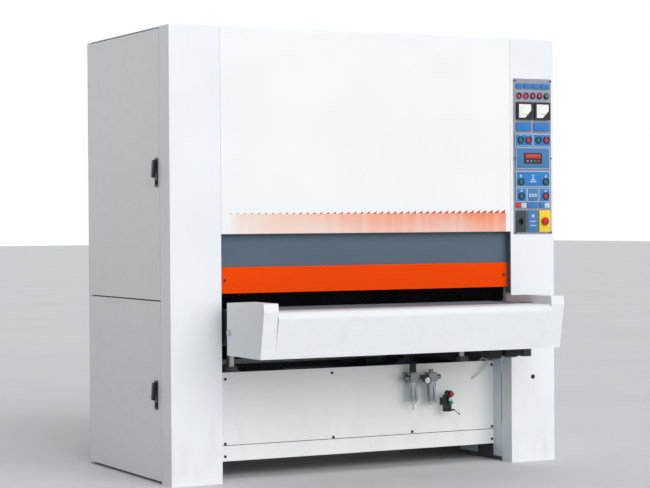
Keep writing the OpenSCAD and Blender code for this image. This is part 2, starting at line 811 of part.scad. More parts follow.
// Tension yokes and rollers
module tension_yoke(y) color("slategray") {
    difference() {
        union() {
            box([-roller_half - yoke_arm_t - step, y - yoke_half, yoke_z0],
                [roller_half + yoke_arm_t + step, y + yoke_half, yoke_z0 + yoke_h]);
            both_sides() across(roller_half + step, roller_half + step + yoke_arm_t) {
                translate([y - yoke_half, yoke_z0]) square([2 * yoke_half, tension_z - yoke_z0]);
                translate([y, tension_z]) circle(r = yoke_half);
            }
        }
        both_sides() rod_x(yoke_journal_r + fit, roller_half, roller_half + yoke_arm_t + 2 * step + over, y, tension_z);
    }
    rod_z(rod_r, rod_end, yoke_z0, 0, y);
    both_sides() rod_z(rod_r, guide_end, yoke_z0, guide_x, y);
}
module tension_roller(y) color("silver") {
    rod_x(tension_r, -roller_half, roller_half, y, tension_z);
    both_sides() rod_x(yoke_journal_r, roller_half, roller_half + yoke_arm_t + 2 * step, y, tension_z);
}

// Pressure rollers
module pressure_roller(y) {
    color("black") rod_x(pressure_r, -pressure_half, pressure_half, y, pressure_z);
    color("silver") both_sides() rod_x(pressure_journal_r, pressure_half, inner_x - sheet, y, pressure_z);
}

// Main motors on the base beams, finned, with fan cowl, feet and terminal box
module motor_body(y) {
    fins_x0 = motor_x0 + motor_cowl_l;
    fins_x1 = motor_x1 - motor_face_t;
    difference() {
        union() {
            across(fins_x0, fins_x1) translate([y, motor_z]) {
                circle(r = motor_core_r);
                for (i = [0 : motor_fins - 1]) rotate(360 * (i + 0.5) / motor_fins)
                    translate([0, -motor_fin_t / 2]) square([motor_r, motor_fin_t]);
            }
            rod_x(motor_r, motor_x0, fins_x0, y, motor_z);
            rod_x(motor_r, fins_x1, motor_x1, y, motor_z);
            for (x = [fins_x0 + motor_foot[0], fins_x1 - 2 * motor_foot[0]])
                box([x, y - motor_foot[1] / 2, beam_bottom + foot_beam_h],
                    [x + motor_foot[0], y + motor_foot[1] / 2, beam_bottom + foot_beam_h + motor_foot[2]]);
            for (x = [fins_x0 + motor_foot[0], fins_x1 - 2 * motor_foot[0]])
                box([x, y - motor_core_r / 2, beam_bottom + foot_beam_h],
                    [x + motor_foot[0], y + motor_core_r / 2, motor_z]);
            box([motor_box_x, y - motor_box[1] / 2, motor_z + motor_core_r - step],
                [motor_box_x + motor_box[0], y + motor_box[1] / 2, motor_z + motor_core_r + motor_box[2]]);
        }
        rod_x(motor_shaft_r + fit, motor_x1 - foot_t * 2, motor_x1 + over, y, motor_z);
    }
}
module main_motors() color("steelblue") for (y = motor_y) motor_body(y);
module motor_pulley(y) color("silver") {
    rod_x(motor_shaft_r, motor_x1 - foot_t * 2, shaft_end, y, motor_z);
    belt_pulley(motor_pulley_r, motor_shaft_r, y, motor_z);
    pulley_rims(motor_pulley_r, y, motor_z);
}

// Screw jacks under the deck, with the lift motor and its chain case
module jack(y) difference() {
    union() {
        box([jack_x - jack_half, y - jack_half, deck_z1 - deck_t - jack_box_h],
            [jack_x + jack_half, y + jack_half + worm_offset / 2, deck_z1 - deck_t]);
        rod_z(jack_neck_r, deck_z1 - deck_t, deck_z1, jack_x, y);
        rod_z(jack_half - edge, deck_z1, deck_z1 + jack_flange_t, jack_x, y);
        rod_z(jack_half - jack_flange_t, deck_z1 + jack_flange_t, jack_top, jack_x, y);
        rod_z(jack_half - step, deck_z1 + 2 * jack_flange_t, deck_z1 + 3 * jack_flange_t, jack_x, y);
    }
    rod_z(lift_screw_r + fit, deck_z1 - deck_t - jack_box_h - over, jack_top + over, jack_x, y);
    rod_x(worm_r + fit, jack_x - 2 * jack_half, jack_x + 2 * jack_half, y + worm_offset, worm_z);
}
module lift_jacks() color("slategray") {
    both_sides() jack(jack_y[0]);
    both_sides() jack(jack_y[1]);
    difference() {
        box([chain_case_x, jack_y[0] + worm_offset - chain_case_half, worm_z - chain_case_half],
            [chain_case_x + chain_case_t, jack_y[1] + worm_offset + chain_case_half, deck_z1 - deck_t]);
        for (y = jack_y) rod_x(worm_r + fit, chain_case_x - over, chain_case_x + chain_case_t + over, y + worm_offset, worm_z);
    }
    rod_x(lift_motor_r, chain_case_x + chain_case_t, chain_case_x + chain_case_t + lift_motor_l,
        (jack_y[0] + jack_y[1]) / 2 + worm_offset, worm_z);
}
module lift_shaft(y) color("silver") rod_x(worm_r, -worm_end, worm_end, y + worm_offset, worm_z);

// Table: bed, covers, belt, drums and screws
module table_bed() color("dimgray") {
    both_sides() difference() {
        box([rail_x0, drum_y - rail_end, rail_z0], [rail_x1, -drum_y + rail_end, table_z - feed_belt_t]);
        box([rail_x0 + rail_wall, drum_y - rail_end - over, rail_z0 + rail_wall],
            [rail_x1 - rail_wall, -drum_y + rail_end + over, table_z - feed_belt_t - rail_wall]);
        for (y = [drum_y, -drum_y]) rod_x(drum_journal_r + sheet, rail_x0 - over, rail_x1 + over, y, drum_z);
    }
    box([-rail_x0, -bed_plate_y, table_z - feed_belt_t - bed_plate_t], [rail_x0, bed_plate_y, table_z - feed_belt_t]);
    for (i = [0 : bed_ribs - 1]) {
        y = (2 * i / (bed_ribs - 1) - 1) * (bed_plate_y - bed_rib_t);
        box([-rail_x0, y - bed_rib_t / 2, table_z - feed_belt_t - bed_plate_t - bed_rib_h],
            [rail_x0, y + bed_rib_t / 2, table_z - feed_belt_t - bed_plate_t]);
    }
    for (y = jack_y) difference() {
        tube_x(-rail_x1, rail_x1, y - cross_beam_half, y + cross_beam_half, cross_beam_z0,
            cross_beam_z0 + cross_beam_h, rail_wall);
        both_sides() box([rail_x0 + rail_wall, y - cross_beam_half - over, rail_z0 + rail_wall],
            [rail_x1 - rail_wall, y + cross_beam_half + over, cross_beam_z0 + cross_beam_h + over]);
    }
    both_sides() {
        box([rail_x1, shoe_y - shoe_half, shoe_z0], [rail_x1 + shoe_t, shoe_y + shoe_half, shoe_z0 + shoe_h]);
        for (y = [cover_mount_y, -cover_mount_y])
            box([rail_x1, y - cover_mount_half, cover_mount_z0],
                [inner_x, y + cover_mount_half, cover_mount_z0 + cover_mount_h]);
    }
}
module bent_sheet(radius, gap) hull() {
    translate([cover_front + nose_r, table_z - nose_r]) circle(r = radius, $fn = 32);
    polygon([[cover_front + cover_lean + gap, cover_z0 - gap], [lip_rear + gap, cover_z0 - gap],
        [lip_rear + gap, table_z - sheet + radius - nose_r + sheet]]);
}
module cover_side() polygon([[cover_front + cover_lean, cover_z0], [cover_rear, cover_z0], [cover_rear, block_z - block_kink],
    [block_kink_y, block_z], [cover_front + cover_lean / 8, block_z], [cover_front, table_z]]);
module block_room() polygon([[cover_front + cover_lean + sheet, cover_z0 - over], [cover_rear + over, cover_z0 - over],
    [cover_rear + over, block_z - block_kink - sheet], [block_kink_y, block_z - sheet],
    [cover_front + cover_lean / 8 + sheet, block_z - sheet], [cover_front + sheet, table_z]]);
module table_cover() {
    across(-cover_half + block_w, cover_half - block_w) difference() {
        bent_sheet(nose_r, 0);
        bent_sheet(nose_r - sheet, sheet);
    }
    both_sides() {
        difference() {
            across(cover_half - block_w, cover_half) cover_side();
            across(cover_half - block_w + sheet, cover_half - sheet) block_room();
            box([cover_half - block_w - over, lip_rear, cover_z0 - over],
                [cover_half - block_w + sheet + over, cover_rear + over, table_z]);
        }
    }
}
module infeed_cover() color("white") {
    table_cover();
    rod_x(cover_bolt_r, -cover_half - cover_bolt_t, -cover_half, cover_rear - 2 * cover_bolt_r, cover_z0 + cover_h / 2);
}
module outfeed_cover() color("white") difference() {
    mirror([0, 1, 0]) table_cover();
    rod_x(gear_bore_r + step, inner_x - over, cover_half + over, -drum_y, drum_z);
}
feed_wheels = [[drum_y, drum_z, drum_r], [-drum_y, drum_z, drum_r]];
module feed_belt() color("dimgray") belt_loop(feed_wheels, feed_belt_t, -feed_belt_w / 2, feed_belt_w / 2);
module drum_bearings() color("slategray") both_sides() for (y = [drum_y, -drum_y])
    across(rail_x1, rail_x1 + drum_bearing_t) difference() {
        translate([y, drum_z]) circle(r = drum_journal_r * 2);
        translate([y, drum_z]) circle(r = drum_journal_r + fit);
    }
module infeed_drum() color("silver") {
    rod_x(drum_r, -drum_half, drum_half, drum_y, drum_z);
    both_sides() rod_x(drum_journal_r, drum_half, inner_x - sheet, drum_y, drum_z);
}
module drive_drum() color("silver") {
    rod_x(drum_r, -drum_half, drum_half, -drum_y, drum_z);
    rod_x(drum_journal_r, -inner_x + sheet, -drum_half, -drum_y, drum_z);
    rod_x(drum_journal_r, drum_half, cover_half + gear_w + step, -drum_y, drum_z);
}
module feed_gear_motor() color("steelblue") {
    difference() {
        union() {
            box([cover_half, -drum_y - gear_half, gear_z0], [cover_half + gear_w, -drum_y + gear_half, gear_z1]);
            rod_z(gear_motor_r, gear_z0 - foot_t, gear_z0, cover_half + gear_w / 2, -drum_y);
        }
        rod_x(gear_bore_r + fit, cover_half - over, cover_half + gear_w + over, -drum_y, drum_z);
    }
    translate([cover_half + gear_w / 2, -drum_y, gear_z0 - foot_t - gear_motor_l]) linear_extrude(gear_motor_l) {
        circle(r = gear_motor_r - 2 * step);
        for (i = [0 : gear_fins - 1]) rotate(360 * i / gear_fins) translate([0, -motor_fin_t / 2]) square([gear_motor_r, motor_fin_t]);
    }
}
module lift_screws() color("silver") both_sides() for (y = jack_y) {
    rod_z(lift_screw_r, cross_beam_z0 - screw_l, cross_beam_z0, jack_x, y);
    rod_z(screw_flange_r, cross_beam_z0 - screw_flange_t, cross_beam_z0, jack_x, y);
}

// Doors on the left side, drawn on the right and mirrored
module door(z0, z1, handle_y, handle_z, pin_low, pin_high) mirror([1, 0, 0]) {
    color("silver") difference() {
        union() {
            side_tray(z0, z1);
            if (pin_low) rod_z(boss_r, z0, z0 + boss_l + sheet, hinge_x, hinge_y);
            if (pin_high) rod_z(boss_r, z1 - boss_l - sheet, z1, hinge_x, hinge_y);
        }
        if (pin_low) rod_z(pivot_r + fit, z0 - over, z0 + pivot_l + over, hinge_x, hinge_y);
        if (pin_high) rod_z(pivot_r + fit, z1 - pivot_l - over, z1 + over, hinge_x, hinge_y);
        rod_x(spindle_r + fit, half_w - door_depth, half_w + over, handle_y, handle_z + handle_plate_l / 2 - lever_pivot_drop);
    }
    color("black") {
        difference() {
            box([half_w, handle_y - handle_plate_w / 2, handle_z - handle_plate_l / 2],
                [half_w + handle_plate_t, handle_y + handle_plate_w / 2, handle_z + handle_plate_l / 2]);
            rod_x(spindle_r + fit, half_w - over, half_w + handle_plate_t + over, handle_y,
                handle_z + handle_plate_l / 2 - lever_pivot_drop);
        }
        rod_x(lock_r, half_w + handle_plate_t, half_w + handle_plate_t + lock_t, handle_y, handle_z - lock_drop);
    }
}
module upper_door() door(door_seam_z + door_split, door_top_z, handle_y_upper, handle_z_upper, true, true);
module lower_door() door(door_bottom_z, door_seam_z - door_split, handle_y_lower, handle_z_lower, true, true);
module door_handle(y, z) mirror([1, 0, 0]) color("black") {
    pivot_z = z + handle_plate_l / 2 - lever_pivot_drop;
    lever_x = half_w + handle_plate_t + lever_lift;
    hull() {
        rod_x(lever_w / 2, lever_x, lever_x + lever_t, y, pivot_z);
        rod_x(lever_w / 3, lever_x + lever_t / 3, lever_x + lever_t + step, y, pivot_z - lever_l + lever_w);
    }
    rod_x(spindle_r, half_w - door_depth, lever_x + step, y, pivot_z);
    box([half_w - door_depth, y - cam_l, pivot_z - cam_w / 2],
        [half_w - door_depth + cam_t, y + cam_w / 2, pivot_z + cam_w / 2]);
}

// Control panel, drawn at its place on the right column
function on_panel(place) = [panel_x0 + place[0], front_y - panel_t, panel_z + place[1]];
button_places = [head_1_start, head_1_stop, head_2_start, head_2_stop, table_up_place, table_down_place,
    feed_start_place, feed_stop_place];
module panel_rod(place, r, out, in) translate(on_panel(place)) rotate([-90, 0, 0])
    translate([0, 0, -out]) cylinder(r = r, h = out + in);
module control_panel() color("gainsboro") difference() {
    union() {
        box([panel_x0, front_y - panel_t, panel_z], [panel_x0 + panel_w, front_y, panel_z + panel_h]);
        for (place = button_places) panel_rod(place, bezel_r, bezel_t, panel_t);
        panel_rod(selector_place, selector_r + sheet, sheet, panel_t);
        translate(on_panel(stop_place - stop_plate / 2) - [0, stop_plate_t, 0])
            cube([stop_plate[0], stop_plate_t + panel_t, stop_plate[1]]);
    }
    for (place = button_places) panel_rod(place, button_r + fit, bezel_t + over, panel_t + over);
    panel_rod(selector_place, stop_stem_r + fit, bezel_t + over, panel_t + over);
    panel_rod(stop_place, stop_stem_r + fit, bezel_t + over, panel_t + over);
    for (place = meter_places) translate(on_panel(place) + [step, -over, step])
        cube([meter_size[0] - 2 * step, panel_t + 2 * over, meter_size[1] - 2 * step]);
    translate(on_panel(display_place) + [step, -over, step])
        cube([display_size[0] - 2 * step, panel_t + 2 * over, display_size[1] - 2 * step]);
}
module pilot_lights() color("red") for (place = lamp_places) translate(on_panel(place))
    rotate([90, 0, 0]) rotate_extrude() {
        square([lamp_r, lamp_t / 2]);
        intersection() {
            translate([0, lamp_t / 2]) circle(r = lamp_r);
            translate([0, lamp_t / 2]) square([lamp_r - edge, lamp_t / 2]);
        }
    }
module inset(place, size, out, back) {
    translate(on_panel(place) - [0, out, 0]) cube([size[0], out, size[1]]);
    translate(on_panel(place) + [step, 0, step])
        cube([size[0] - 2 * step, panel_t + back, size[1] - 2 * step]);
}
module ammeters() color("black") for (place = meter_places) inset(place, meter_size, meter_t, meter_back);
module display_unit() color("black") inset(display_place, display_size, display_t, meter_back);
module back_collar(place) translate([0, panel_t + collar_t, 0]) panel_rod(place, collar_r, collar_t, 0);
module push_button(place, shade) color(shade) {
    panel_rod(place, button_r, button_cap, panel_t + collar_t);
    back_collar(place);
}
module emergency_stop() color("red") {
    back_collar(stop_place);
    translate(on_panel(stop_place)) rotate([90, 0, 0]) rotate_extrude() polygon([[0, -panel_t - collar_t],
        [stop_stem_r, -panel_t - collar_t], [stop_stem_r, 3 * button_travel], [stop_r - step, 3 * button_travel],
        [stop_r, 4 * button_travel], [stop_r - edge, 5 * button_travel], [stop_r - step, 6 * button_travel],
        [0, 6 * button_travel + edge]]);
}
module selector_switch() color("black") {
    panel_rod(selector_place, stop_stem_r, sheet + turn_gap, panel_t + collar_t);
    back_collar(selector_place);
    translate([0, -sheet - turn_gap, 0]) panel_rod(selector_place, selector_r, selector_t, 0);
    translate(on_panel(selector_place) - [selector_grip[0] / 2, sheet + turn_gap + selector_t + selector_grip[2],
        selector_grip[1] / 2]) cube([selector_grip[0], selector_grip[2], selector_grip[1]]);
}

// Air service unit on its bracket
module bowl(x, z0, z1) translate([x, air_y, z0]) rotate_extrude() polygon([[0, 0], [bowl_r - step, 0], [bowl_r, step * 2],
    [bowl_r, z1 - z0 - 2 * step], [bowl_neck_r, z1 - z0 - 2 * step], [bowl_neck_r, z1 - z0], [0, z1 - z0]]);
module air_block(x) box([x - air_body[0] / 2, air_y - air_body[1] / 2, air_body_z],
    [x + air_body[0] / 2, air_y + air_body[1] / 2, air_body_z + air_body[2]]);
module air_service_unit() color("silver") {
    difference() {
        union() {
            air_block(filter_x);
            air_block(lubricator_x);
            rod_x(port_r, filter_x - air_body[0] / 2 - port_l, lubricator_x + air_body[0] / 2 + port_l, air_y,
                air_body_z + air_body[2] / 2);
            rod_z(knob_base_r, air_body_z + air_body[2], air_body_z + air_body[2] + step, filter_x, air_y);
            bowl(filter_x, filter_bowl_z, air_body_z);
            bowl(lubricator_x, lubricator_bowl_z, air_body_z);
            rod_z(drain_r, drain_z, filter_bowl_z, filter_x, air_y);
            rod_z(sight_r, air_body_z + air_body[2], sight_z, lubricator_x, air_y);
            rod_y(port_r / 2, air_y - air_body[1] / 2 - step, air_y, gauge_x, gauge_z);
            rod_y(gauge_r, air_y - air_body[1] / 2 - step - gauge_t, air_y - air_body[1] / 2 - step, gauge_x, gauge_z);
            box([filter_x - air_bracket_w / 2, air_y + air_body[1] / 2, air_body_z],
                [filter_x + air_bracket_w / 2, air_y + air_body[1] / 2 + air_bracket_t, air_body_z + air_body[2]]);
            box([filter_x - air_bracket_w / 2, air_y + air_body[1] / 2, air_body_z + air_body[2] - air_bracket_t],
                [filter_x + air_bracket_w / 2, base_y0, air_body_z + air_body[2]]);
        }
        rod_x(port_r / 2, filter_x - air_body[0] / 2 - port_l - over, filter_x - air_body[0] / 2, air_y,
            air_body_z + air_body[2] / 2);
        rod_z(knob_stem_r + fit, air_body_z + air_body[2] / 2 + port_r, air_body_z + air_body[2] + step + over, filter_x, air_y);
    }
}
module regulator_knob() color("black") {
    z0 = air_body_z + air_body[2] + step + turn_gap;
    rod_z(knob_stem_r, air_body_z + air_body[2] / 2 + port_r + edge, z0, filter_x, air_y);
    translate([filter_x, air_y, z0]) linear_extrude(knob_h - step) difference() {
        circle(r = knob_r);
        for (i = [0 : knob_grooves - 1]) rotate(360 * i / knob_grooves) translate([knob_r + edge, 0]) circle(r = 2 * edge);
    }
}

// Hand valve under the table
module hand_valve() color("black") difference() {
    union() {
        box([valve_x - valve_body[0] / 2, air_y - valve_body[1] / 2, valve_z - valve_body[2] / 2],
            [valve_x + valve_body[0] / 2, air_y + valve_body[1] / 2, valve_z + valve_body[2] / 2]);
        rod_y(valve_head_r, air_y - valve_body[1], air_y, valve_x, valve_head_z);
        box([valve_x - valve_head_r / 2, air_y, valve_z - valve_body[2] / 4],
            [valve_x + valve_head_r / 2, base_y0, valve_z + valve_body[2] / 4]);
        rod_z(valve_base_r, valve_z - valve_body[2] / 2 - valve_base_h, valve_z - valve_body[2] / 2, valve_x, air_y);
        rod_x(valve_lever_r, valve_x, valve_x + valve_lever_l, air_y, valve_z - valve_body[2] / 2 - valve_base_h / 2);
    }
    rod_y(valve_stem_r + fit, air_y - valve_body[1] - over, air_y, valve_x, valve_head_z);
}
module valve_button() color("red") {
    out_y = air_y - valve_body[1] - valve_travel - edge;
    rod_y(valve_stem_r, out_y, air_y - valve_travel - edge, valve_x, valve_head_z);
    rod_y(valve_button_r, out_y - valve_button_t, out_y, valve_x, valve_head_z);
}
module air_hoses() {
    color("white") hose(laid(white_steps), hose_r);
    color("lightblue") hose(laid(blue_steps), hose_r);
}

base_frame();
side_frames();
corner_casings();
front_hood();
guard_frame();
guard_panel();
base_panels();
rear_hood();
right_side_covers();
head_beams();
platen();
roller_bearings();
sanding_belts();
main_motors();
drive_belts();
control_panel();
pilot_lights();
ammeters();
display_unit();
air_service_unit();
hand_valve();
air_hoses();
lift_jacks();
table_bed();
infeed_cover();
outfeed_cover();
feed_belt();
drum_bearings();
feed_gear_motor();
lift_screws();
infeed_drum();
drive_drum();
contact_roller(contact_r_1, contact_y_1, contact_z_1);  // contact_roller_1
contact_roller(contact_r_2, contact_y_2, contact_z_2);  // contact_roller_2
tension_yoke(tension_y_1);  // tension_yoke_1
tension_yoke(tension_y_2);  // tension_yoke_2
tension_roller(tension_y_1);  // tension_roller_1
tension_roller(tension_y_2);  // tension_roller_2
motor_pulley(motor_y[0]);  // motor_pulley_1
motor_pulley(motor_y[1]);  // motor_pulley_2
pressure_roller(pressure_y[0]);  // front_pressure_roller
pressure_roller(pressure_y[1]);  // rear_pressure_roller
lift_shaft(jack_y[0]);  // front_lift_shaft
lift_shaft(jack_y[1]);  // rear_lift_shaft
upper_door();
lower_door();
door_handle(handle_y_upper, handle_z_upper);  // upper_door_handle
door_handle(handle_y_lower, handle_z_lower);  // lower_door_handle
push_button(head_1_start, "green");  // head_1_start_button
push_button(head_1_stop, "red");  // head_1_stop_button
push_button(head_2_start, "green");  // head_2_start_button
push_button(head_2_stop, "red");  // head_2_stop_button
push_button(table_up_place, "green");  // table_up_button
push_button(table_down_place, "green");  // table_down_button
push_button(feed_start_place, "green");  // feed_start_button
push_button(feed_stop_place, "red");  // feed_stop_button
emergency_stop();
selector_switch();
regulator_knob();
valve_button();
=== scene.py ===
"""Wide belt sander: its finishes, its small parts and its two air hoses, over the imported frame."""
import logging
import math
from dataclasses import dataclass, field
from enum import Enum
from typing import Any, Iterable, Optional, Sequence

import bmesh
import bpy
from mathutils import Matrix, Vector


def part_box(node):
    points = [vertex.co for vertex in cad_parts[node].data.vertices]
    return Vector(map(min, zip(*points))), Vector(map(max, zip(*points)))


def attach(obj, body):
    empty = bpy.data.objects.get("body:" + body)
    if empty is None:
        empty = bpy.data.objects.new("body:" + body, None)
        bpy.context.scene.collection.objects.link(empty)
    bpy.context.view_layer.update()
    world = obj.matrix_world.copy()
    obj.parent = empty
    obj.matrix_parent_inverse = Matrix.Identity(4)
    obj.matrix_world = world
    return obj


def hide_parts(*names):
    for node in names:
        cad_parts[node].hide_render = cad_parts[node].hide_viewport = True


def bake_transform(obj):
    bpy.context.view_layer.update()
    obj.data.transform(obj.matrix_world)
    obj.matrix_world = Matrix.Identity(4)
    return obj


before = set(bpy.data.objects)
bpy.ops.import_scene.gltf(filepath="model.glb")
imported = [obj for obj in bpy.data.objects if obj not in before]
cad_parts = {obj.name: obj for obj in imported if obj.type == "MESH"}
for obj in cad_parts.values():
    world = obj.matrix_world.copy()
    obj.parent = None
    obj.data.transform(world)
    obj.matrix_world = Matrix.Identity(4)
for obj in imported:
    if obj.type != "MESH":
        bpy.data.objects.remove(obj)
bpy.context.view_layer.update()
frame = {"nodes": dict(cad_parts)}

LOG = logging.getLogger("sander")
Colour = tuple[float, float, float]
Point = tuple[float, float, float]
NO_TURN = (0.0, 0.0, 0.0)
FULL_SIZE = (1.0, 1.0, 1.0)
SMOOTH_ANGLE = 35.0
DUST = (0.30, 0.25, 0.19)
WOOD_DUST = (0.42, 0.33, 0.24)
STAIN = (0.24, 0.20, 0.16)
STEEL_GREY = (0.56, 0.57, 0.58)


def linear(red: int, green: int, blue: int) -> Colour:
    """Turns a colour as seen on a screen into the linear values that shaders use.

    Args:
        red: Red, 0 to 255.
        green: Green, 0 to 255.
        blue: Blue, 0 to 255.

    Returns:
        The three linear values.
    """
    def one(value: int) -> float:
        """Returns one linear value."""
        part = value / 255
        return part / 12.92 if part <= 0.04045 else ((part + 0.055) / 1.055) ** 2.4

    return one(red), one(green), one(blue)


class Field:
    """A number that varies over a surface, with the usual operators."""

    def __init__(self, graph: "Graph", socket: bpy.types.NodeSocket) -> None:
        """Wraps a socket of the graph."""
        self.graph = graph
        self.socket = socket

    def _maths(self, operation: str, *others: Any) -> "Field":
        """Returns the result of one Math node on this field and the others."""
        return Field(self.graph, self.graph.maths(operation, self, *others))

    def __add__(self, other: Any) -> "Field":
        """Returns the sum."""
        return self._maths("ADD", other)

    def __sub__(self, other: Any) -> "Field":
        """Returns the difference."""
        return self._maths("SUBTRACT", other)

    def __mul__(self, other: Any) -> "Field":
        """Returns the product."""
        return self._maths("MULTIPLY", other)

    def __truediv__(self, other: Any) -> "Field":
        """Returns the quotient."""
        return self._maths("DIVIDE", other)

    def __abs__(self) -> "Field":
        """Returns the size without its sign."""
        return self._maths("ABSOLUTE")

    def __gt__(self, other: Any) -> "Field":
        """Returns 1 where this is greater, and 0 elsewhere."""
        return self._maths("GREATER_THAN", other)

    def __lt__(self, other: Any) -> "Field":
        """Returns 1 where this is less, and 0 elsewhere."""
        return self._maths("LESS_THAN", other)

    def most(self, other: Any) -> "Field":
        """Returns the greater of the two."""
        return self._maths("MAXIMUM", other)

    def ramp(self, low: float, high: float, start: float = 0.0, end: float = 1.0) -> "Field":
        """Eases from one value to another.

        Args:
            low: Where the change begins.
            high: Where it ends.
            start: The value below low.
            end: The value above high.

        Returns:
            The eased value.
        """
        node = self.graph.node(
            "ShaderNodeMapRange", {"interpolation_type": "SMOOTHSTEP", "clamp": True},
            {"Value": self, "From Min": low, "From Max": high, "To Min": start, "To Max": end})
        return Field(self.graph, node.outputs[0])


class Tree:
    """A node tree, of a material, a world or Geometry Nodes."""

    def __init__(self, tree: bpy.types.NodeTree) -> None:
        """Takes the tree that the nodes are added to."""
        self.tree = tree

    def node(self, kind: str, settings: Optional[dict[str, Any]] = None,
             inputs: Optional[dict[str, Any]] = None) -> bpy.types.Node:
        """Adds any node.

        Args:
            kind: The node's type.
            settings: Its settings, such as an operation.
            inputs: The value, field or socket of each input, or a list of sockets that meet in it, by
                identifier or name.

        Returns:
            The node.
        """
        node = self.tree.nodes.new(kind)
        for key, value in (settings or {}).items():
            setattr(node, key, value)
        for key, value in (inputs or {}).items():
            usable = [s for s in node.inputs if s.enabled]
            found = [s for s in usable if s.identifier == key] or [s for s in usable if s.name == key]
            for one in value if isinstance(value, list) else [value]:
                if isinstance(one, (Field, bpy.types.NodeSocket)):
                    self.tree.links.new(one.socket if isinstance(one, Field) else one, found[0])
                elif isinstance(one, tuple) and found[0].type == "RGBA":
                    found[0].default_value = (*one, 1)
                else:
                    found[0].default_value = one
        return node

    def maths(self, operation: str, *values: Any) -> bpy.types.NodeSocket:
        """Adds one Math node on up to three values, and returns its result."""
        inputs = dict(zip(("Value", "Value_001", "Value_002"), values))
        return self.node("ShaderNodeMath", {"operation": operation}, inputs).outputs[0]


class Graph(Tree):
    """The node tree of one material."""

    def __init__(self, name: str, world: Optional[bpy.types.World] = None) -> None:
        """Makes an empty material of that name, or empties a world's tree."""
        self.material = world or bpy.data.materials.new(name)
        self.material.use_nodes = True
        super().__init__(self.material.node_tree)
        self.tree.nodes.clear()
        self.place: Optional[bpy.types.NodeSocket] = None

    def point(self) -> bpy.types.NodeSocket:
        """Returns the place on the piece, in metres."""
        if self.place is None:
            self.place = self.node("ShaderNodeTexCoord").outputs["Object"]
        return self.place

    def axes(self) -> tuple[Field, Field, Field]:
        """Returns the three parts of the place on the piece."""
        parts = self.node("ShaderNodeSeparateXYZ", inputs={"Vector": self.point()}).outputs
        return Field(self, parts[0]), Field(self, parts[1]), Field(self, parts[2])

    def noise(self, scale: float, detail: float = 2.0, stretch: Point = (1, 1, 1),
              rough: float = 0.5) -> Field:
        """Adds a noise.

        Args:
            scale: Its scale, per metre.
            detail: Its detail.
            stretch: How much finer it is along each axis.
            rough: How strong its finer parts are.

        Returns:
            The noise, about 0.5.
        """
        spot: bpy.types.NodeSocket = self.point()
        if stretch != (1, 1, 1):
            spot = self.node("ShaderNodeMapping", inputs={"Vector": spot, "Scale": stretch}).outputs[0]
        node = self.node("ShaderNodeTexNoise", {"noise_dimensions": "3D"},
                         {"Vector": spot, "Scale": scale, "Detail": detail, "Roughness": rough})
        return Field(self, node.outputs[0])

    def cells(self, scale: float) -> Field:
        """Returns the distance to the nearest of scattered points, at that scale per metre."""
        node = self.node("ShaderNodeTexVoronoi", {"feature": "F1"}, {"Vector": self.point(), "Scale": scale})
        return Field(self, node.outputs["Distance"])

    def blend(self, share: Any, first: Any, second: Any) -> bpy.types.NodeSocket:
        """Mixes two colours.

        Args:
            share: The second colour's share.
            first: A colour or a socket.
            second: A colour or a socket.

        Returns:
            The mixed colour.
        """
        node = self.node("ShaderNodeMix", {"data_type": "RGBA", "blend_type": "MIX", "clamp_factor": True},
                         {"Factor_Float": share, "A_Color": first, "B_Color": second})
        return next(s for s in node.outputs if s.identifier == "Result_Color")

    def bump(self, height: Field, depth: float) -> bpy.types.NodeSocket:
        """Returns the normal of a surface with that relief, depth in metres."""
        node = self.node("ShaderNodeBump", inputs={"Height": height, "Distance": depth, "Strength": 1.0})
        return node.outputs[0]

    def close(self, sockets: dict[str, Any]) -> bpy.types.Material:
        """Ends the material in one Principled shader.

        Args:
            sockets: The shader's inputs.

        Returns:
            The finished material.
        """
        shader = self.node("ShaderNodeBsdfPrincipled", inputs=sockets)
        self.node("ShaderNodeOutputMaterial", inputs={"Surface": shader.outputs[0]})
        return self.material


@dataclass(frozen=True)
class Paint:
    """Sprayed or powder-coated paint: orange peel, a faint cloudiness and a little dust low down."""

    name: str
    colour: Colour
    rough: float = 0.38
    peel: float = 0.00005
    peel_scale: float = 420.0
    cloud: float = 0.035
    coat: float = 0.0
    dust: float = 0.03
    shine: float = 0.5

    def shade(self, graph: Graph) -> Any:
        """Returns the paint's own colour before clouds and dust."""
        return self.colour

    def make(self) -> bpy.types.Material:
        """Returns the paint as a material."""
        graph = Graph(self.name)
        cloud = graph.noise(2.2, 2.0)
        fine = graph.noise(self.peel_scale, 2.0)
        z = graph.axes()[2]
        low = z.ramp(0.0, 0.55, 1.0, 0.0) * graph.noise(14.0, 4.0, (1, 1, 0.35)).ramp(0.42, 0.75)
        dark = tuple(c * (1 - 2.2 * self.cloud) for c in self.colour)
        tone = graph.blend(cloud.ramp(0.3, 0.75) * 0.5, self.shade(graph), dark)
        tone = graph.blend(low * (self.dust * 4), tone, DUST)
        rough = (cloud - 0.5) * 0.16 + (fine - 0.5) * 0.05 + self.rough + low * 0.18
        return graph.close({
            "Base Color": tone, "Roughness": rough, "Coat Weight": self.coat, "Coat Roughness": 0.08,
            "Specular IOR Level": self.shine, "Normal": graph.bump(fine, self.peel)})


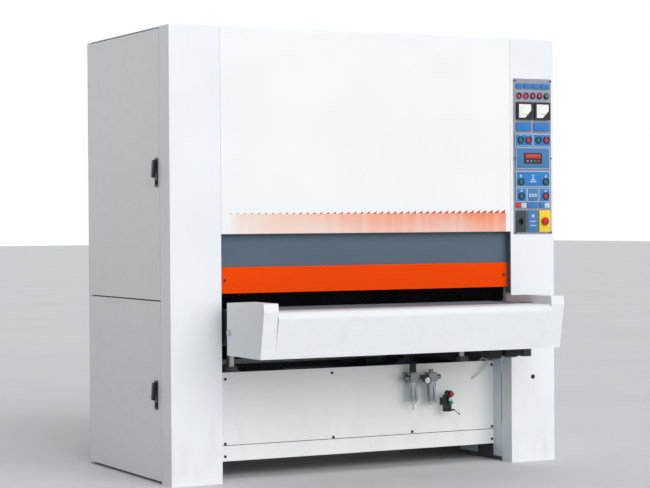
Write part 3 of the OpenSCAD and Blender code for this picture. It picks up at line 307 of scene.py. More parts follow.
@dataclass(frozen=True)
class HoodPaint(Paint):
    """White paint with a printed band that fades from pale peach on the left to orange on the right."""

    band_low: float = 1.1195
    band_high: float = 1.2095
    band_left: float = -0.742
    band_right: float = 0.742
    front: float = -0.5085
    behind: float = -0.508
    pale: Colour = linear(240, 206, 186)
    deep: Colour = linear(236, 132, 84)

    def shade(self, graph: Graph) -> Any:
        """Returns white with the band over it."""
        x, y, z = graph.axes()
        along = (x - self.band_left) / (self.band_right - self.band_left)
        streak = graph.noise(28.0, 1.0, (1, 1, 0.01)).ramp(0.35, 0.72)
        inside = z.ramp(self.band_low, self.band_low + 0.001)
        inside = inside * z.ramp(self.band_high - 0.001, self.band_high, 1, 0)
        inside = inside * x.ramp(self.band_left, self.band_left + 0.07) * (x < self.band_right)
        inside = inside * y.ramp(self.front, self.behind, 1, 0)
        fade = z.ramp(self.band_low, self.band_high, 0.72, 1.0)
        band = graph.blend(along.ramp(-0.1, 0.85), self.pale, self.deep)
        band = graph.blend(streak * 0.2, band, linear(250, 224, 206))
        return graph.blend(inside * fade, self.colour, band)


@dataclass(frozen=True)
class Casting:
    """A painted casting: coarse skin under the paint, rubbed a little on the high spots."""

    name: str
    colour: Colour
    rough: float = 0.5
    metal: float = 0.0
    grain: float = 260.0
    depth: float = 0.0004

    def make(self) -> bpy.types.Material:
        """Returns the casting as a material."""
        graph = Graph(self.name)
        skin = graph.noise(self.grain, 4.0, rough=0.6)
        wide = graph.noise(22.0, 3.0)
        rubbed = tuple(min(1, c * 1.7 + 0.03) for c in self.colour)
        tone = graph.blend(skin.ramp(0.58, 0.8) * 0.35, self.colour, rubbed)
        tone = graph.blend(wide.ramp(0.45, 0.75) * 0.4, tone, tuple(c * 0.72 for c in self.colour))
        return graph.close({
            "Base Color": tone, "Roughness": (wide - 0.5) * 0.25 + self.rough, "Metallic": self.metal,
            "Normal": graph.bump(skin, self.depth)})


@dataclass(frozen=True)
class Steel:
    """Machined steel with turning or grinding marks drawn out along one axis."""

    name: str
    colour: Colour = STEEL_GREY
    rough: float = 0.28
    along: Point = (0.02, 1, 1)
    scale: float = 900.0
    stain: float = 0.2

    def make(self) -> bpy.types.Material:
        """Returns the steel as a material."""
        graph = Graph(self.name)
        lines = graph.noise(self.scale, 2.0, self.along)
        wide = graph.noise(16.0, 4.0)
        tone = graph.blend(lines * 0.3, self.colour, tuple(c * 0.7 for c in self.colour))
        tone = graph.blend(wide.ramp(0.5, 0.8) * self.stain, tone, STAIN)
        return graph.close({
            "Base Color": tone, "Metallic": 1.0,
            "Roughness": (lines - 0.5) * 0.22 + (wide - 0.5) * 0.2 + self.rough,
            "Normal": graph.bump(lines, 0.00004)})


@dataclass(frozen=True)
class Rubber:
    """Rubber with a fine ground face and grey bloom."""

    name: str
    colour: Colour
    rough: float = 0.72
    grain: float = 700.0
    depth: float = 0.0001
    bloom: float = 0.25
    shine: float = 0.35

    def make(self) -> bpy.types.Material:
        """Returns the rubber as a material."""
        graph = Graph(self.name)
        fine = graph.noise(self.grain, 3.0)
        wide = graph.noise(18.0, 4.0)
        grey = tuple(c * 1.6 + 0.02 for c in self.colour)
        tone = graph.blend(wide.ramp(0.42, 0.75) * self.bloom, self.colour, grey)
        return graph.close({
            "Base Color": tone, "Roughness": (fine - 0.5) * 0.2 + self.rough,
            "Specular IOR Level": self.shine,
            "Normal": graph.bump(fine, self.depth)})


@dataclass(frozen=True)
class RoughTop:
    """The feed belt's top: close rubber nubs with paler tips and darker rubber between them; painted shade
    turns the belt near black low down.
    """

    name: str
    base: Colour
    tip: Colour
    scale: float = 330.0
    # under and top: the heights over which the painted shade on the belt's lower run fades out
    under: float = 0.70
    top: float = 0.775

    def make(self) -> bpy.types.Material:
        """Returns the belt's face as a material."""
        graph = Graph(self.name)
        nubs = graph.cells(self.scale)
        spots = graph.noise(210.0, 3.0, rough=0.65)
        patch = graph.noise(11.0, 3.0, (0.5, 1, 1))
        upward = graph.axes()[2].ramp(self.under, self.top)
        height = nubs.ramp(0.1, 0.6, 1, 0)
        tone = graph.blend(height * 0.55 + spots.ramp(0.45, 0.7) * 0.45, self.base, self.tip)
        tone = graph.blend(patch.ramp(0.4, 0.7) * 0.28, tone, tuple(c * 0.78 for c in self.base))
        # Painted shade: near black below under, the belt's own colour above top.
        tone = graph.blend(upward, (0.02, 0.03, 0.035), tone)
        return graph.close({
            "Base Color": tone, "Roughness": (spots - 0.5) * 0.2 + 0.86, "Specular IOR Level": 0.1,
            "Normal": graph.bump(height * 0.6 + spots * 0.4, 0.0007)})


@dataclass(frozen=True)
class Abrasive:
    """Coated abrasive: sharp grains in brown resin, loaded with pale dust in bands along the feed."""

    name: str
    resin: Colour
    grain: Colour

    def make(self) -> bpy.types.Material:
        """Returns the abrasive as a material."""
        graph = Graph(self.name)
        grit = graph.cells(900.0)
        band = graph.noise(9.0, 3.0, (1, 0.05, 0.05))
        tone = graph.blend(grit.ramp(0.15, 0.6), self.grain, self.resin)
        tone = graph.blend(band.ramp(0.5, 0.8) * 0.3, tone, WOOD_DUST)
        return graph.close({"Base Color": tone, "Roughness": 0.82, "Normal": graph.bump(grit, 0.0003)})


@dataclass(frozen=True)
class Plastic:
    """Moulded plastic, glossy or finely textured, with faint wear."""

    name: str
    colour: Colour
    rough: float = 0.25
    grain: float = 1100.0
    depth: float = 0.00002
    glow: float = 0.0

    def make(self) -> bpy.types.Material:
        """Returns the plastic as a material."""
        graph = Graph(self.name)
        fine = graph.noise(self.grain, 2.0)
        wide = graph.noise(45.0, 3.0)
        paler = tuple(min(1, c * 1.25 + 0.012) for c in self.colour)
        tone = graph.blend(wide.ramp(0.4, 0.75) * 0.22, self.colour, paler)
        return graph.close({
            "Base Color": tone, "Roughness": (wide - 0.5) * 0.14 + (fine - 0.5) * 0.06 + self.rough,
            "Emission Color": self.colour, "Emission Strength": self.glow,
            "Normal": graph.bump(fine, self.depth)})


class Ink(Enum):
    """The printed colours of the control panel."""

    BLUE = "ink_blue"
    LIGHT = "ink_light"
    RED = "ink_red"
    YELLOW = "ink_yellow"
    DARK = "ink_dark"
    SLATE = "ink_slate"
    GREEN = "ink_green"


class Shape:
    """A mesh under construction, made of bevelled blocks, turned parts and cut plates."""

    def __init__(self) -> None:
        """Starts an empty shape."""
        self.mesh = bmesh.new()

    def take(self, part: bmesh.types.BMesh, slot: int, smooth: bool) -> None:
        """Adds a finished part with its material slot."""
        bmesh.ops.recalc_face_normals(part, faces=part.faces)
        for face in part.faces:
            face.material_index = slot
            face.smooth = smooth
        scratch = bpy.data.meshes.new("part")
        part.to_mesh(scratch)
        part.free()
        self.mesh.from_mesh(scratch)
        bpy.data.meshes.remove(scratch)

    def block(self, low: Point, high: Point, slot: int = 0, bevel: float = 0.0) -> None:
        """Adds a block.

        Args:
            low: Its lowest corner.
            high: Its highest corner.
            slot: The index of its material.
            bevel: The radius of its edges.
        """
        part = bmesh.new()
        bmesh.ops.create_cube(part, size=1)
        middle = (Vector(low) + Vector(high)) / 2
        size = Vector(high) - Vector(low)
        for vertex in part.verts:
            vertex.co = middle + Vector(v * s for v, s in zip(vertex.co, size))
        if bevel > 0:
            bmesh.ops.bevel(part, geom=list(part.edges), offset=bevel, segments=2, profile=0.5,
                            affect="EDGES")
        self.take(part, slot, False)

    def turned(self, centre: Point, axis: Point, profile: Sequence[tuple[float, float]], slot: int = 0,
               sides: int = 32) -> None:
        """Adds a turned part.

        Args:
            centre: A point on its axis.
            axis: The direction of its axis.
            profile: Radius and place along the axis, from one end to the other.
            slot: The index of its material.
            sides: How many sides it has.
        """
        part = bmesh.new()
        aim = Vector(axis).to_track_quat("Z", "Y").to_matrix().to_4x4()
        rings: list[list[bmesh.types.BMVert]] = []
        for radius, height in profile:
            if radius < 1e-7:
                rings.append([part.verts.new((0, 0, height))])
                continue
            angles = [2 * math.pi * k / sides for k in range(sides)]
            rings.append([part.verts.new((radius * math.cos(a), radius * math.sin(a), height))
                          for a in angles])
        for lower, upper in zip(rings, rings[1:]):
            for k in range(sides):
                following = (k + 1) % sides
                if len(lower) == 1 and len(upper) == 1:
                    continue
                if len(lower) == 1:
                    part.faces.new((lower[0], upper[k], upper[following]))
                elif len(upper) == 1:
                    part.faces.new((lower[k], lower[following], upper[0]))
                else:
                    part.faces.new((lower[k], lower[following], upper[following], upper[k]))
        for ring in (rings[0], rings[-1]):
            if len(ring) > 1:
                part.faces.new(ring)
        part.transform(Matrix.Translation(centre) @ aim)
        self.take(part, slot, True)

    def plate(self, outline: Sequence[tuple[float, float]], front: float, back: float, slot: int = 0) -> None:
        """Adds an upright plate that faces the front.

        Args:
            outline: Its corners, X and Z.
            front: Y of its front face.
            back: Y of its back face.
            slot: The index of its material.
        """
        part = bmesh.new()
        near = [part.verts.new((x, front, z)) for x, z in outline]
        far = [part.verts.new((x, back, z)) for x, z in outline]
        part.faces.new(near)
        part.faces.new(far)
        for k in range(len(outline)):
            following = (k + 1) % len(outline)
            part.faces.new((near[k], near[following], far[following], far[k]))
        self.take(part, slot, False)

    def finish(self, name: str, finishes: Sequence[bpy.types.Material], body: str,
               slot: str) -> bpy.types.Object:
        """Makes the shape a piece of the scene.

        Args:
            name: The piece's name.
            finishes: Its materials, by slot.
            body: The body that it rides on.
            slot: The record's material slot that it belongs to; not used.

        Returns:
            The piece.
        """
        mesh = bpy.data.meshes.new(name)
        self.mesh.to_mesh(mesh)
        self.mesh.free()
        return place(mesh, name, finishes, body)

    def row(self, name: str, finish: bpy.types.Material, count: int, start: Point, step: Point = NO_TURN,
            first_turn: Point = NO_TURN, turn: Point = NO_TURN,
            first_size: Point = FULL_SIZE) -> bpy.types.Mesh:
        """Repeats the shape along a row, round a centre, or both.

        Args:
            name: The name of the shape's own mesh.
            finish: The material of the whole row.
            count: How many there are.
            start: Where the first one stands.
            step: The way from one to the next.
            first_turn: The first one's turn, in radians about each axis.
            turn: What each next one turns further.
            first_size: The first one's size, which grows to full size at the last.

        Returns:
            The row as a plain mesh.
        """
        mesh = bpy.data.meshes.new(name)
        self.mesh.to_mesh(mesh)
        self.mesh.free()
        return row_recipe().run(mesh, {
            "Count": count, "Start": start, "Step": step, "First Size": first_size,
            "First Turn": first_turn, "Turn": turn, "Finish": finish})


def place(mesh: bpy.types.Mesh, name: str, finishes: Sequence[bpy.types.Material], body: Optional[str]) -> bpy.types.Object:
    """Puts a finished mesh into the scene as one piece.

    Args:
        mesh: The mesh, in its place.
        name: The piece's name.
        finishes: Its materials, by slot.
        body: The body that it rides on, or None, which leaves it unattached.

    Returns:
        The piece.
    """
    piece = bpy.data.objects.new(name, mesh)
    bpy.context.scene.collection.objects.link(piece)
    if len(mesh.materials) == 0:
        for finish in finishes:
            mesh.materials.append(finish)
    mesh.set_sharp_from_angle(angle=math.radians(SMOOTH_ANGLE))
    if body:
        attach(piece, body)
    LOG.info("%s: %d faces, on %s", name, len(mesh.polygons), body or "two bodies")
    return piece


class Recipe(Tree):
    """A Geometry Nodes tree with named inputs."""

    def __init__(self, name: str) -> None:
        """Makes an empty tree with a geometry input and output."""
        super().__init__(bpy.data.node_groups.new(name, "GeometryNodeTree"))
        self.tree.interface.new_socket("Geometry", in_out="INPUT", socket_type="NodeSocketGeometry")
        self.tree.interface.new_socket("Geometry", in_out="OUTPUT", socket_type="NodeSocketGeometry")
        self.identifiers: dict[str, str] = {}
        self.entry = self.tree.nodes.new("NodeGroupInput")
        self.exit = self.tree.nodes.new("NodeGroupOutput")

    def values(self, kinds: dict[str, str]) -> list[bpy.types.NodeSocket]:
        """Adds named inputs, each with its type, and returns their sockets."""
        for name, kind in kinds.items():
            item = self.tree.interface.new_socket(name, in_out="INPUT", socket_type=f"NodeSocket{kind}")
            self.identifiers[name] = item.identifier
        sockets = {socket.identifier: socket for socket in self.entry.outputs}
        return [sockets[self.identifiers[name]] for name in kinds]

    def end(self, geometry: bpy.types.NodeSocket) -> "Recipe":
        """Joins the last geometry to the tree's output, and returns the recipe."""
        self.tree.links.new(geometry, self.exit.inputs[0])
        return self

    def run(self, mesh: bpy.types.Mesh, values: dict[str, Any]) -> bpy.types.Mesh:
        """Works the tree on a mesh.

        Args:
            mesh: The mesh that goes in.
            values: The named inputs.

        Returns:
            A plain mesh.
        """
        holder = bpy.data.objects.new("holder", mesh)
        bpy.context.scene.collection.objects.link(holder)
        modifier = holder.modifiers.new("recipe", "NODES")
        modifier.node_group = self.tree
        for name, value in values.items():
            modifier[self.identifiers[name]] = value
        graph = bpy.context.evaluated_depsgraph_get()
        result = bpy.data.meshes.new_from_object(holder.evaluated_get(graph), preserve_all_data_layers=False,
                                                 depsgraph=graph)
        holder.modifiers.remove(modifier)
        bpy.data.objects.remove(holder)
        return result


def row_recipe() -> Recipe:
    """Returns a tree that repeats its mesh in a row, and turns and grows it along the way."""
    recipe = Recipe("row")
    count, start, step, small, first_turn, turn, finish = recipe.values({
        "Count": "Int", "Start": "Vector", "Step": "Vector", "First Size": "Vector",
        "First Turn": "Vector", "Turn": "Vector", "Finish": "Material"})
    line = recipe.node("GeometryNodeMeshLine", {"mode": "OFFSET"},
                       {"Count": count, "Start Location": start, "Offset": step})
    index = recipe.node("GeometryNodeInputIndex").outputs[0]
    share = recipe.maths("DIVIDE", index, recipe.maths("SUBTRACT", count, 1.0))
    size = recipe.node("ShaderNodeMix", {"data_type": "VECTOR"},
                       {"Factor_Float": share, "A_Vector": small, "B_Vector": FULL_SIZE})
    grown = next(s for s in size.outputs if s.identifier == "Result_Vector")
    turned = recipe.node("ShaderNodeVectorMath", {"operation": "SCALE"},
                         {"Vector": turn, "Scale": index}).outputs[0]
    aim = recipe.node("ShaderNodeVectorMath", {"operation": "ADD"},
                      {"Vector": first_turn, "Vector_001": turned}).outputs[0]
    copies = recipe.node("GeometryNodeInstanceOnPoints", None,
                         {"Points": line.outputs[0], "Instance": recipe.entry.outputs[0], "Rotation": aim,
                          "Scale": grown})
    real = recipe.node("GeometryNodeRealizeInstances", None, {"Geometry": copies.outputs[0]})
    dressed = recipe.node("GeometryNodeSetMaterial", None, {"Geometry": real.outputs[0], "Material": finish})
    return recipe.end(dressed.outputs[0])


def screw_recipe() -> Recipe:
    """Returns a tree that puts a socket screw's head on each vertex, facing the way that its turn says."""
    recipe = Recipe("screws")
    head, socket, height, turn, rim_finish, core_finish = recipe.values({
        "Head Radius": "Float", "Socket Radius": "Float", "Height": "Float", "Turn": "Vector",
        "Rim": "Material", "Core": "Material"})
    wide = recipe.maths("SUBTRACT", head, socket)
    middle = recipe.maths("MULTIPLY_ADD", wide, 0.5, socket)
    ring = recipe.node("GeometryNodeCurvePrimitiveCircle", {"mode": "RADIUS"},
                       {"Resolution": 24, "Radius": middle})
    section = recipe.node("GeometryNodeCurvePrimitiveQuadrilateral", {"mode": "RECTANGLE"},
                          {"Width": height, "Height": wide})
    rim = recipe.node("GeometryNodeCurveToMesh", None,
                      {"Curve": ring.outputs[0], "Profile Curve": section.outputs[0]})
    core = recipe.node("GeometryNodeMeshCylinder", {"fill_type": "NGON"},
                       {"Vertices": 6, "Radius": socket, "Depth": height})
    marked = recipe.node("GeometryNodeStoreNamedAttribute", {"data_type": "BOOLEAN", "domain": "FACE"},
                         {"Geometry": core.outputs[0], "Name": "core", "Value": True})
    low = recipe.node("GeometryNodeTransform", None,
                      {"Geometry": marked.outputs[0], "Scale": (1.12, 1.12, 0.5)})
    whole = recipe.node("GeometryNodeJoinGeometry", None, {"Geometry": [rim.outputs[0], low.outputs[0]]})
    copies = recipe.node("GeometryNodeInstanceOnPoints", None,
                         {"Points": recipe.entry.outputs[0], "Instance": whole.outputs[0], "Rotation": turn})
    real = recipe.node("GeometryNodeRealizeInstances", None, {"Geometry": copies.outputs[0]})
    # The sunk hexagon gets the darker core finish: painted shade in the socket.
    mark = recipe.node("GeometryNodeInputNamedAttribute", {"data_type": "BOOLEAN"}, {"Name": "core"})
    bright = recipe.node("GeometryNodeSetMaterial", None,
                         {"Geometry": real.outputs[0], "Material": rim_finish})
    dark = recipe.node("GeometryNodeSetMaterial", None,
                       {"Geometry": bright.outputs[0], "Selection": mark.outputs[0], "Material": core_finish})
    return recipe.end(dark.outputs[0])


@dataclass
class Finishes:
    """Every finish of the machine, made once."""

    made: dict[str, bpy.types.Material] = field(default_factory=dict)

    def get(self, finish: Any) -> bpy.types.Material:
        """Returns the finish as a material, made the first time that it is asked for."""
        if finish.name not in self.made:
            self.made[finish.name] = finish.make()
        return self.made[finish.name]

    def several(self, *wanted: Any) -> list[bpy.types.Material]:
        """Returns finishes as materials, in the order that they are named."""
        return [self.get(finish) for finish in wanted]


WHITE = Paint("casing_white", linear(234, 237, 240), 0.42, shine=0.3)
HOOD = HoodPaint("hood_white", linear(239, 241, 242), 0.42, shine=0.35)
SIDE = Paint("side_grey", linear(228, 229, 231), 0.42)
PANEL = Paint("panel_white", linear(244, 246, 244), 0.42, dust=0.02)
SLATE = Paint("slate_paint", linear(88, 103, 117), 0.5, dust=0.02, shine=0.3)
ORANGE = Paint("guard_orange", linear(243, 72, 0), 0.5, dust=0.0, shine=0.1)
DARK = Paint("frame_paint", linear(52, 58, 64), 0.5, dust=0.1)
MOTOR = Casting("motor_paint", linear(74, 98, 118))
CAST = Casting("grey_cast", linear(104, 108, 112))
PLATE = Paint("panel_grey", linear(150, 152, 166), 0.45, 0.00002, 800.0, 0.02, dust=0.0)
GROUND = Steel("roller_steel")
TURNED = Steel("machined_steel", rough=0.32)
FEED = RoughTop("feed_rubber", linear(104, 116, 126), linear(158, 170, 182))
GRIT = Abrasive("abrasive", linear(120, 62, 40), linear(176, 104, 74))
PAD = Rubber("graphite", linear(46, 46, 50), 0.55, 900.0)
BELT = Rubber("belt_rubber", linear(13, 14, 16), 0.8)
STRIP = Rubber("strip_rubber", linear(4, 4, 6), 0.9, bloom=0.05, shine=0.08)
ROLL = Rubber("pressure_rubber", linear(38, 38, 42))
BLACK = Plastic("handle_black", linear(22, 24, 26), 0.42, 1400.0, 0.00006)
KNOB = Plastic("knob_black", linear(24, 25, 28), 0.38, 1400.0, 0.00005)
HOUSING = Plastic("meter_housing", linear(26, 28, 32), 0.3)
GREY_KEY = Plastic("key_grey", linear(120, 124, 130), 0.4)
GREEN = Plastic("button_green", linear(14, 104, 78), 0.25)
RED = Plastic("button_red", linear(190, 30, 38), 0.25)
DIAL = Plastic("dial_white", linear(238, 238, 232), 0.5)
GLOW = Plastic("display_red", linear(186, 52, 58), 0.2, glow=0.12)
WHITE_HOSE = Plastic("hose_white", linear(226, 230, 232), 0.36)
BLUE_HOSE = Plastic("hose_blue", linear(176, 206, 222), 0.3)
CONDUIT = Rubber("conduit_black", linear(20, 22, 25), 0.45, 500.0)
INKS = {ink: Plastic(ink.value, linear(*tone), rough) for ink, tone, rough in (
    (Ink.BLUE, (46, 118, 186), 0.5), (Ink.LIGHT, (178, 200, 224), 0.5), (Ink.RED, (198, 44, 52), 0.4),
    (Ink.YELLOW, (238, 204, 40), 0.4), (Ink.DARK, (50, 62, 62), 0.5), (Ink.SLATE, (66, 118, 168), 0.5),
    (Ink.GREEN, (30, 132, 96), 0.4))}


@dataclass(frozen=True)
class Split:
    """Two finishes on one part, divided by planes across an axis."""

    name: str
    inner: Colour
    outer: Colour
    axis: int
    edge: float
    mirrored: bool = False
    inner_rough: float = 0.4
    outer_rough: float = 0.35
    inner_metal: float = 0.0
    outer_metal: float = 0.0

    def make(self) -> bpy.types.Material:
        """Returns the two finishes as one material."""
        graph = Graph(self.name)
        along = graph.axes()[self.axis]
        beyond = (abs(along) if self.mirrored else along) > self.edge
        fine = graph.noise(600.0, 3.0)
        wide = graph.noise(20.0, 3.0)
        tone = graph.blend(beyond, self.inner, self.outer)
        tone = graph.blend(wide.ramp(0.4, 0.75) * 0.035, tone, (0.16, 0.15, 0.14))
        metal = beyond * (self.outer_metal - self.inner_metal) + self.inner_metal
        rough = beyond * (self.outer_rough - self.inner_rough) + self.inner_rough + (fine - 0.5) * 0.12
        return graph.close({"Base Color": tone, "Metallic": metal, "Roughness": rough,
                            "Normal": graph.bump(fine, 0.00005)})


@dataclass(frozen=True)
class Lens:
    """Ribbed clear lamp lenses: magenta, and green from a place along X."""

    name: str = "lamp_plastic"
    change: float = 0.96

    def make(self) -> bpy.types.Material:
        """Returns the lenses as one material."""
        graph = Graph(self.name)
        tone = graph.blend(graph.axes()[0] > self.change, linear(196, 36, 84), linear(28, 132, 80))
        facet = graph.cells(700.0)
        return graph.close({
            "Base Color": tone, "Roughness": facet * 0.08 + 0.12, "Coat Weight": 0.6, "Coat Roughness": 0.05,
            "Emission Color": tone, "Emission Strength": 0.12, "Normal": graph.bump(facet, 0.0003)})


@dataclass
class Studio:
    """The camera at the photograph's place, soft lamps, a pale floor and a white background."""

    eye: Point = (-4.356, -8.459, 1.172)
    yaw: float = 27.35
    pitch: float = -0.653
    roll: float = -0.372
    lens: float = 107.77
    sky: float = 0.38

    def camera(self) -> None:
        """Places the camera."""
        yaw, pitch, roll = (math.radians(a) for a in (self.yaw, self.pitch, self.roll))
        ahead = Vector((math.sin(yaw) * math.cos(pitch), math.cos(yaw) * math.cos(pitch), math.sin(pitch)))
        level = Vector((math.cos(yaw), -math.sin(yaw), 0))
        upward = level.cross(ahead)
        right = math.cos(roll) * level + math.sin(roll) * upward
        above = -math.sin(roll) * level + math.cos(roll) * upward
        data = bpy.data.cameras.new("camera")
        data.sensor_width = 36
        data.sensor_fit = "HORIZONTAL"
        data.lens = self.lens
        data.clip_end = 200
        eye = bpy.data.objects.new("camera", data)
        bpy.context.scene.collection.objects.link(eye)
        turn = Matrix((right, above, -ahead)).transposed().to_4x4()
        eye.matrix_world = Matrix.Translation(self.eye) @ turn
        bpy.context.scene.camera = eye

    def lamp(self, name: str, toward: Point, strength: float, spread: float, mirrored: bool = True) -> None:
        """Adds one soft lamp, far away.

        Args:
            name: Its name.
            toward: The direction to it.
            strength: Its strength.
            spread: How wide it is, in degrees.
            mirrored: Whether glossy surfaces mirror it.
        """
        data = bpy.data.lights.new(name, "SUN")
        data.energy = strength
        data.angle = math.radians(spread)
        lamp = bpy.data.objects.new(name, data)
        aim = Vector(toward).to_track_quat("Z", "Y").to_matrix().to_4x4()
        bpy.context.scene.collection.objects.link(lamp)
        lamp.matrix_world = Matrix.Translation(Vector(toward) * 8) @ aim
        lamp.visible_glossy = mirrored

    def lamps(self) -> None:
        """Adds the lamps."""
        self.lamp("key", (0.1, -0.9, 0.36), 2.15, 60, False)
        self.lamp("side", (0.9, -0.35, 0.36), 0.3, 80)
        self.lamp("back", (0.1, 0.8, 0.3), 0.4, 90)

    def world(self) -> None:
        """Makes a world that lights softly and is white where it is seen or mirrored."""
        world = bpy.data.worlds.new("studio")
        bpy.context.scene.world = world
        graph = Graph("studio", world)
        rays = graph.node("ShaderNodeLightPath").outputs
        seen = Field(graph, rays["Is Camera Ray"]).most(Field(graph, rays["Is Glossy Ray"]))
        seen = seen.most(Field(graph, rays["Is Transmission Ray"]))
        soft = graph.node("ShaderNodeBackground", inputs={"Color": (0.96, 0.98, 1.0), "Strength": self.sky})
        white = graph.node("ShaderNodeBackground", inputs={"Color": (1.0, 1.0, 1.0), "Strength": 1.0})
        mix = graph.node("ShaderNodeMixShader", inputs={"Fac": seen, "Shader": soft.outputs[0],
                                                        "Shader_001": white.outputs[0]})
        graph.node("ShaderNodeOutputWorld", inputs={"Surface": mix.outputs[0]})

    def floor(self) -> None:
        """Lays a pale floor that ends at a soft edge far behind the machine."""
        graph = Graph("floor")
        cloud = graph.noise(0.7, 3.0)
        tone = graph.blend(cloud.ramp(0.35, 0.7) * 0.25, linear(224, 227, 230), linear(212, 216, 220))
        finish = graph.close({"Base Color": tone, "Roughness": 0.7, "Specular IOR Level": 0.2,
                              "Normal": graph.bump(graph.noise(90.0), 0.0001)})
        mesh = bpy.data.meshes.new("floor")
        mesh.from_pydata([(-60, -30, 0), (60, -30, 0), (60, 90, 0), (-60, 90, 0)], [], [(0, 1, 2, 3)])
        mesh.materials.append(finish)
        floor = bpy.data.objects.new("floor", mesh)
        bpy.context.scene.collection.objects.link(floor)

    def build(self) -> None:
        """Builds the whole studio."""
        self.lamps()
        self.world()
        self.floor()
        settings = bpy.context.scene.view_settings
        settings.view_transform = "Standard"


@dataclass
class AirHoses:
    """The white and the blue air hose between the base and the right column."""

    corner: Point = (0.768, -0.345, 0.485)
    diameter: float = 0.008
    white: Sequence[Point] = (
        (-123, 0, -81), (-123, -12, -81), (-118, -19, -76), (-100, -27, -61), (-78, -31, -41),
        (-60, -29, -23), (-48, -21, -3), (-46, -5, 11), (-54, 13, 13), (-64, 27, 1), (-66, 32, -11),
        (-66, 32, -25))
    blue: Sequence[Point] = (
        (0, -117, 40), (-8, -117, 40), (-14, -116, 33), (-17, -112, 22), (-17, -106, 8), (-14, -100, -4),
        (-8, -93, -13), (0, -93, -13))
    fine: int = 2

    def route(self, steps: Sequence[Point]) -> list[Vector]:
        """Returns a smooth route through the steps, in metres."""
        marks = [Vector(self.corner) + Vector(step) / 1000 for step in steps]
        ends = [marks[0] * 2 - marks[1]] + marks + [marks[-1] * 2 - marks[-2]]
        points: list[Vector] = []
        for before, first, second, after in zip(ends, ends[1:], ends[2:], ends[3:]):
            for k in range(self.fine):
                t = k / self.fine
                points.append(0.5 * ((2 * first) + (second - before) * t
                                     + (2 * before - 5 * first + 4 * second - after) * t * t
                                     + (3 * first - before - 3 * second + after) * t ** 3))
        return points + [marks[-1]]

    def hose(self, name: str, steps: Sequence[Point], finish: bpy.types.Material) -> None:
        """Lays one hose.

        Args:
            name: Its name.
            steps: Its steps from the corner, in millimetres.
            finish: Its material.
        """
        points = self.route(steps)
        length = sum((b - a).length for a, b in zip(points, points[1:]))
        data = bpy.data.curves.new(name, "CURVE")
        data.dimensions = "3D"
        data.bevel_depth = self.diameter / 2
        data.bevel_resolution = 5
        data.use_fill_caps = True
        spline = data.splines.new("POLY")
        spline.points.add(len(points) - 1)
        for point, spot in zip(spline.points, points):
            point.co = (*spot, 1)
        spline.use_smooth = True
        data.materials.append(finish)
        hose = bpy.data.objects.new(name, data)
        bpy.context.scene.collection.objects.link(hose)
        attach(hose, "frame")
        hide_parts("air_hoses")
        LOG.info("%s: %.3f m long", name, length)

    def build(self, finishes: Finishes) -> None:
        """Lays both hoses."""
        self.hose("white_air_hose", self.white, finishes.get(WHITE_HOSE))
        self.hose("blue_air_hose", self.blue, finishes.get(BLUE_HOSE))


@dataclass
class Dressing:
    """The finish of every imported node."""

    nodes: dict[str, bpy.types.Object]

    def table(self) -> dict[Any, str]:
        """Returns each finish with the nodes that have it."""
        return {
            WHITE: "corner_casings rear_hood",
            HOOD: "front_hood",
            SIDE: "right_side_covers",
            PANEL: "base_panels outfeed_cover",
            SLATE: "guard_frame head_beams tension_yoke_1 tension_yoke_2",
            Split("frame_two_tone", linear(214, 222, 232), linear(96, 110, 123), 2, 0.62): "side_frames",
            ORANGE: "guard_panel",
            DARK: "base_frame table_bed",
            MOTOR: "main_motors feed_gear_motor",
            CAST: "roller_bearings lift_jacks drum_bearings",
            PLATE: "control_panel",
            GROUND: "infeed_drum drive_drum tension_roller_1 tension_roller_2",
            TURNED: "lift_screws motor_pulley_1 motor_pulley_2 front_lift_shaft rear_lift_shaft",
            Split("air_metal", linear(206, 214, 216), linear(142, 148, 152), 2, 0.402, inner_rough=0.16,
                  outer_rough=0.38, inner_metal=0.55, outer_metal=0.8): "air_service_unit",
            FEED: "feed_belt",
            GRIT: "sanding_belts",
            PAD: "platen",
            BELT: "drive_belts",
            ROLL: "front_pressure_roller rear_pressure_roller",
            BLACK: "upper_door_handle lower_door_handle hand_valve",
            KNOB: "selector_switch regulator_knob",
            HOUSING: "ammeters display_unit",
            GREEN: "head_1_start_button head_2_start_button table_up_button table_down_button "
                   "feed_start_button",
            RED: "head_1_stop_button head_2_stop_button feed_stop_button emergency_stop valve_button",
            WHITE_HOSE: "air_hoses",
            Lens(): "pilot_lights",
            Split("contact_rubber", linear(48, 48, 52), STEEL_GREY, 0, 0.6705, True, inner_rough=0.75,
                  outer_rough=0.3, outer_metal=1.0): "contact_roller_1 contact_roller_2",
            Split("door_grey", linear(22, 24, 26), linear(228, 229, 231), 0, -1.0152):
                "upper_door lower_door",
            Split("infeed_white", STEEL_GREY, linear(232, 235, 238), 0, -0.7712, inner_rough=0.3,
                  outer_rough=0.36, inner_metal=0.9): "infeed_cover",
        }

    def build(self, finishes: Finishes) -> None:
        """Dresses every node."""
        for finish, names in self.table().items():
            material = finishes.get(finish)
            for name in names.split():
                for slot in self.nodes[name].material_slots:
                    slot.material = material
                LOG.info("%s: %s", name, material.name)


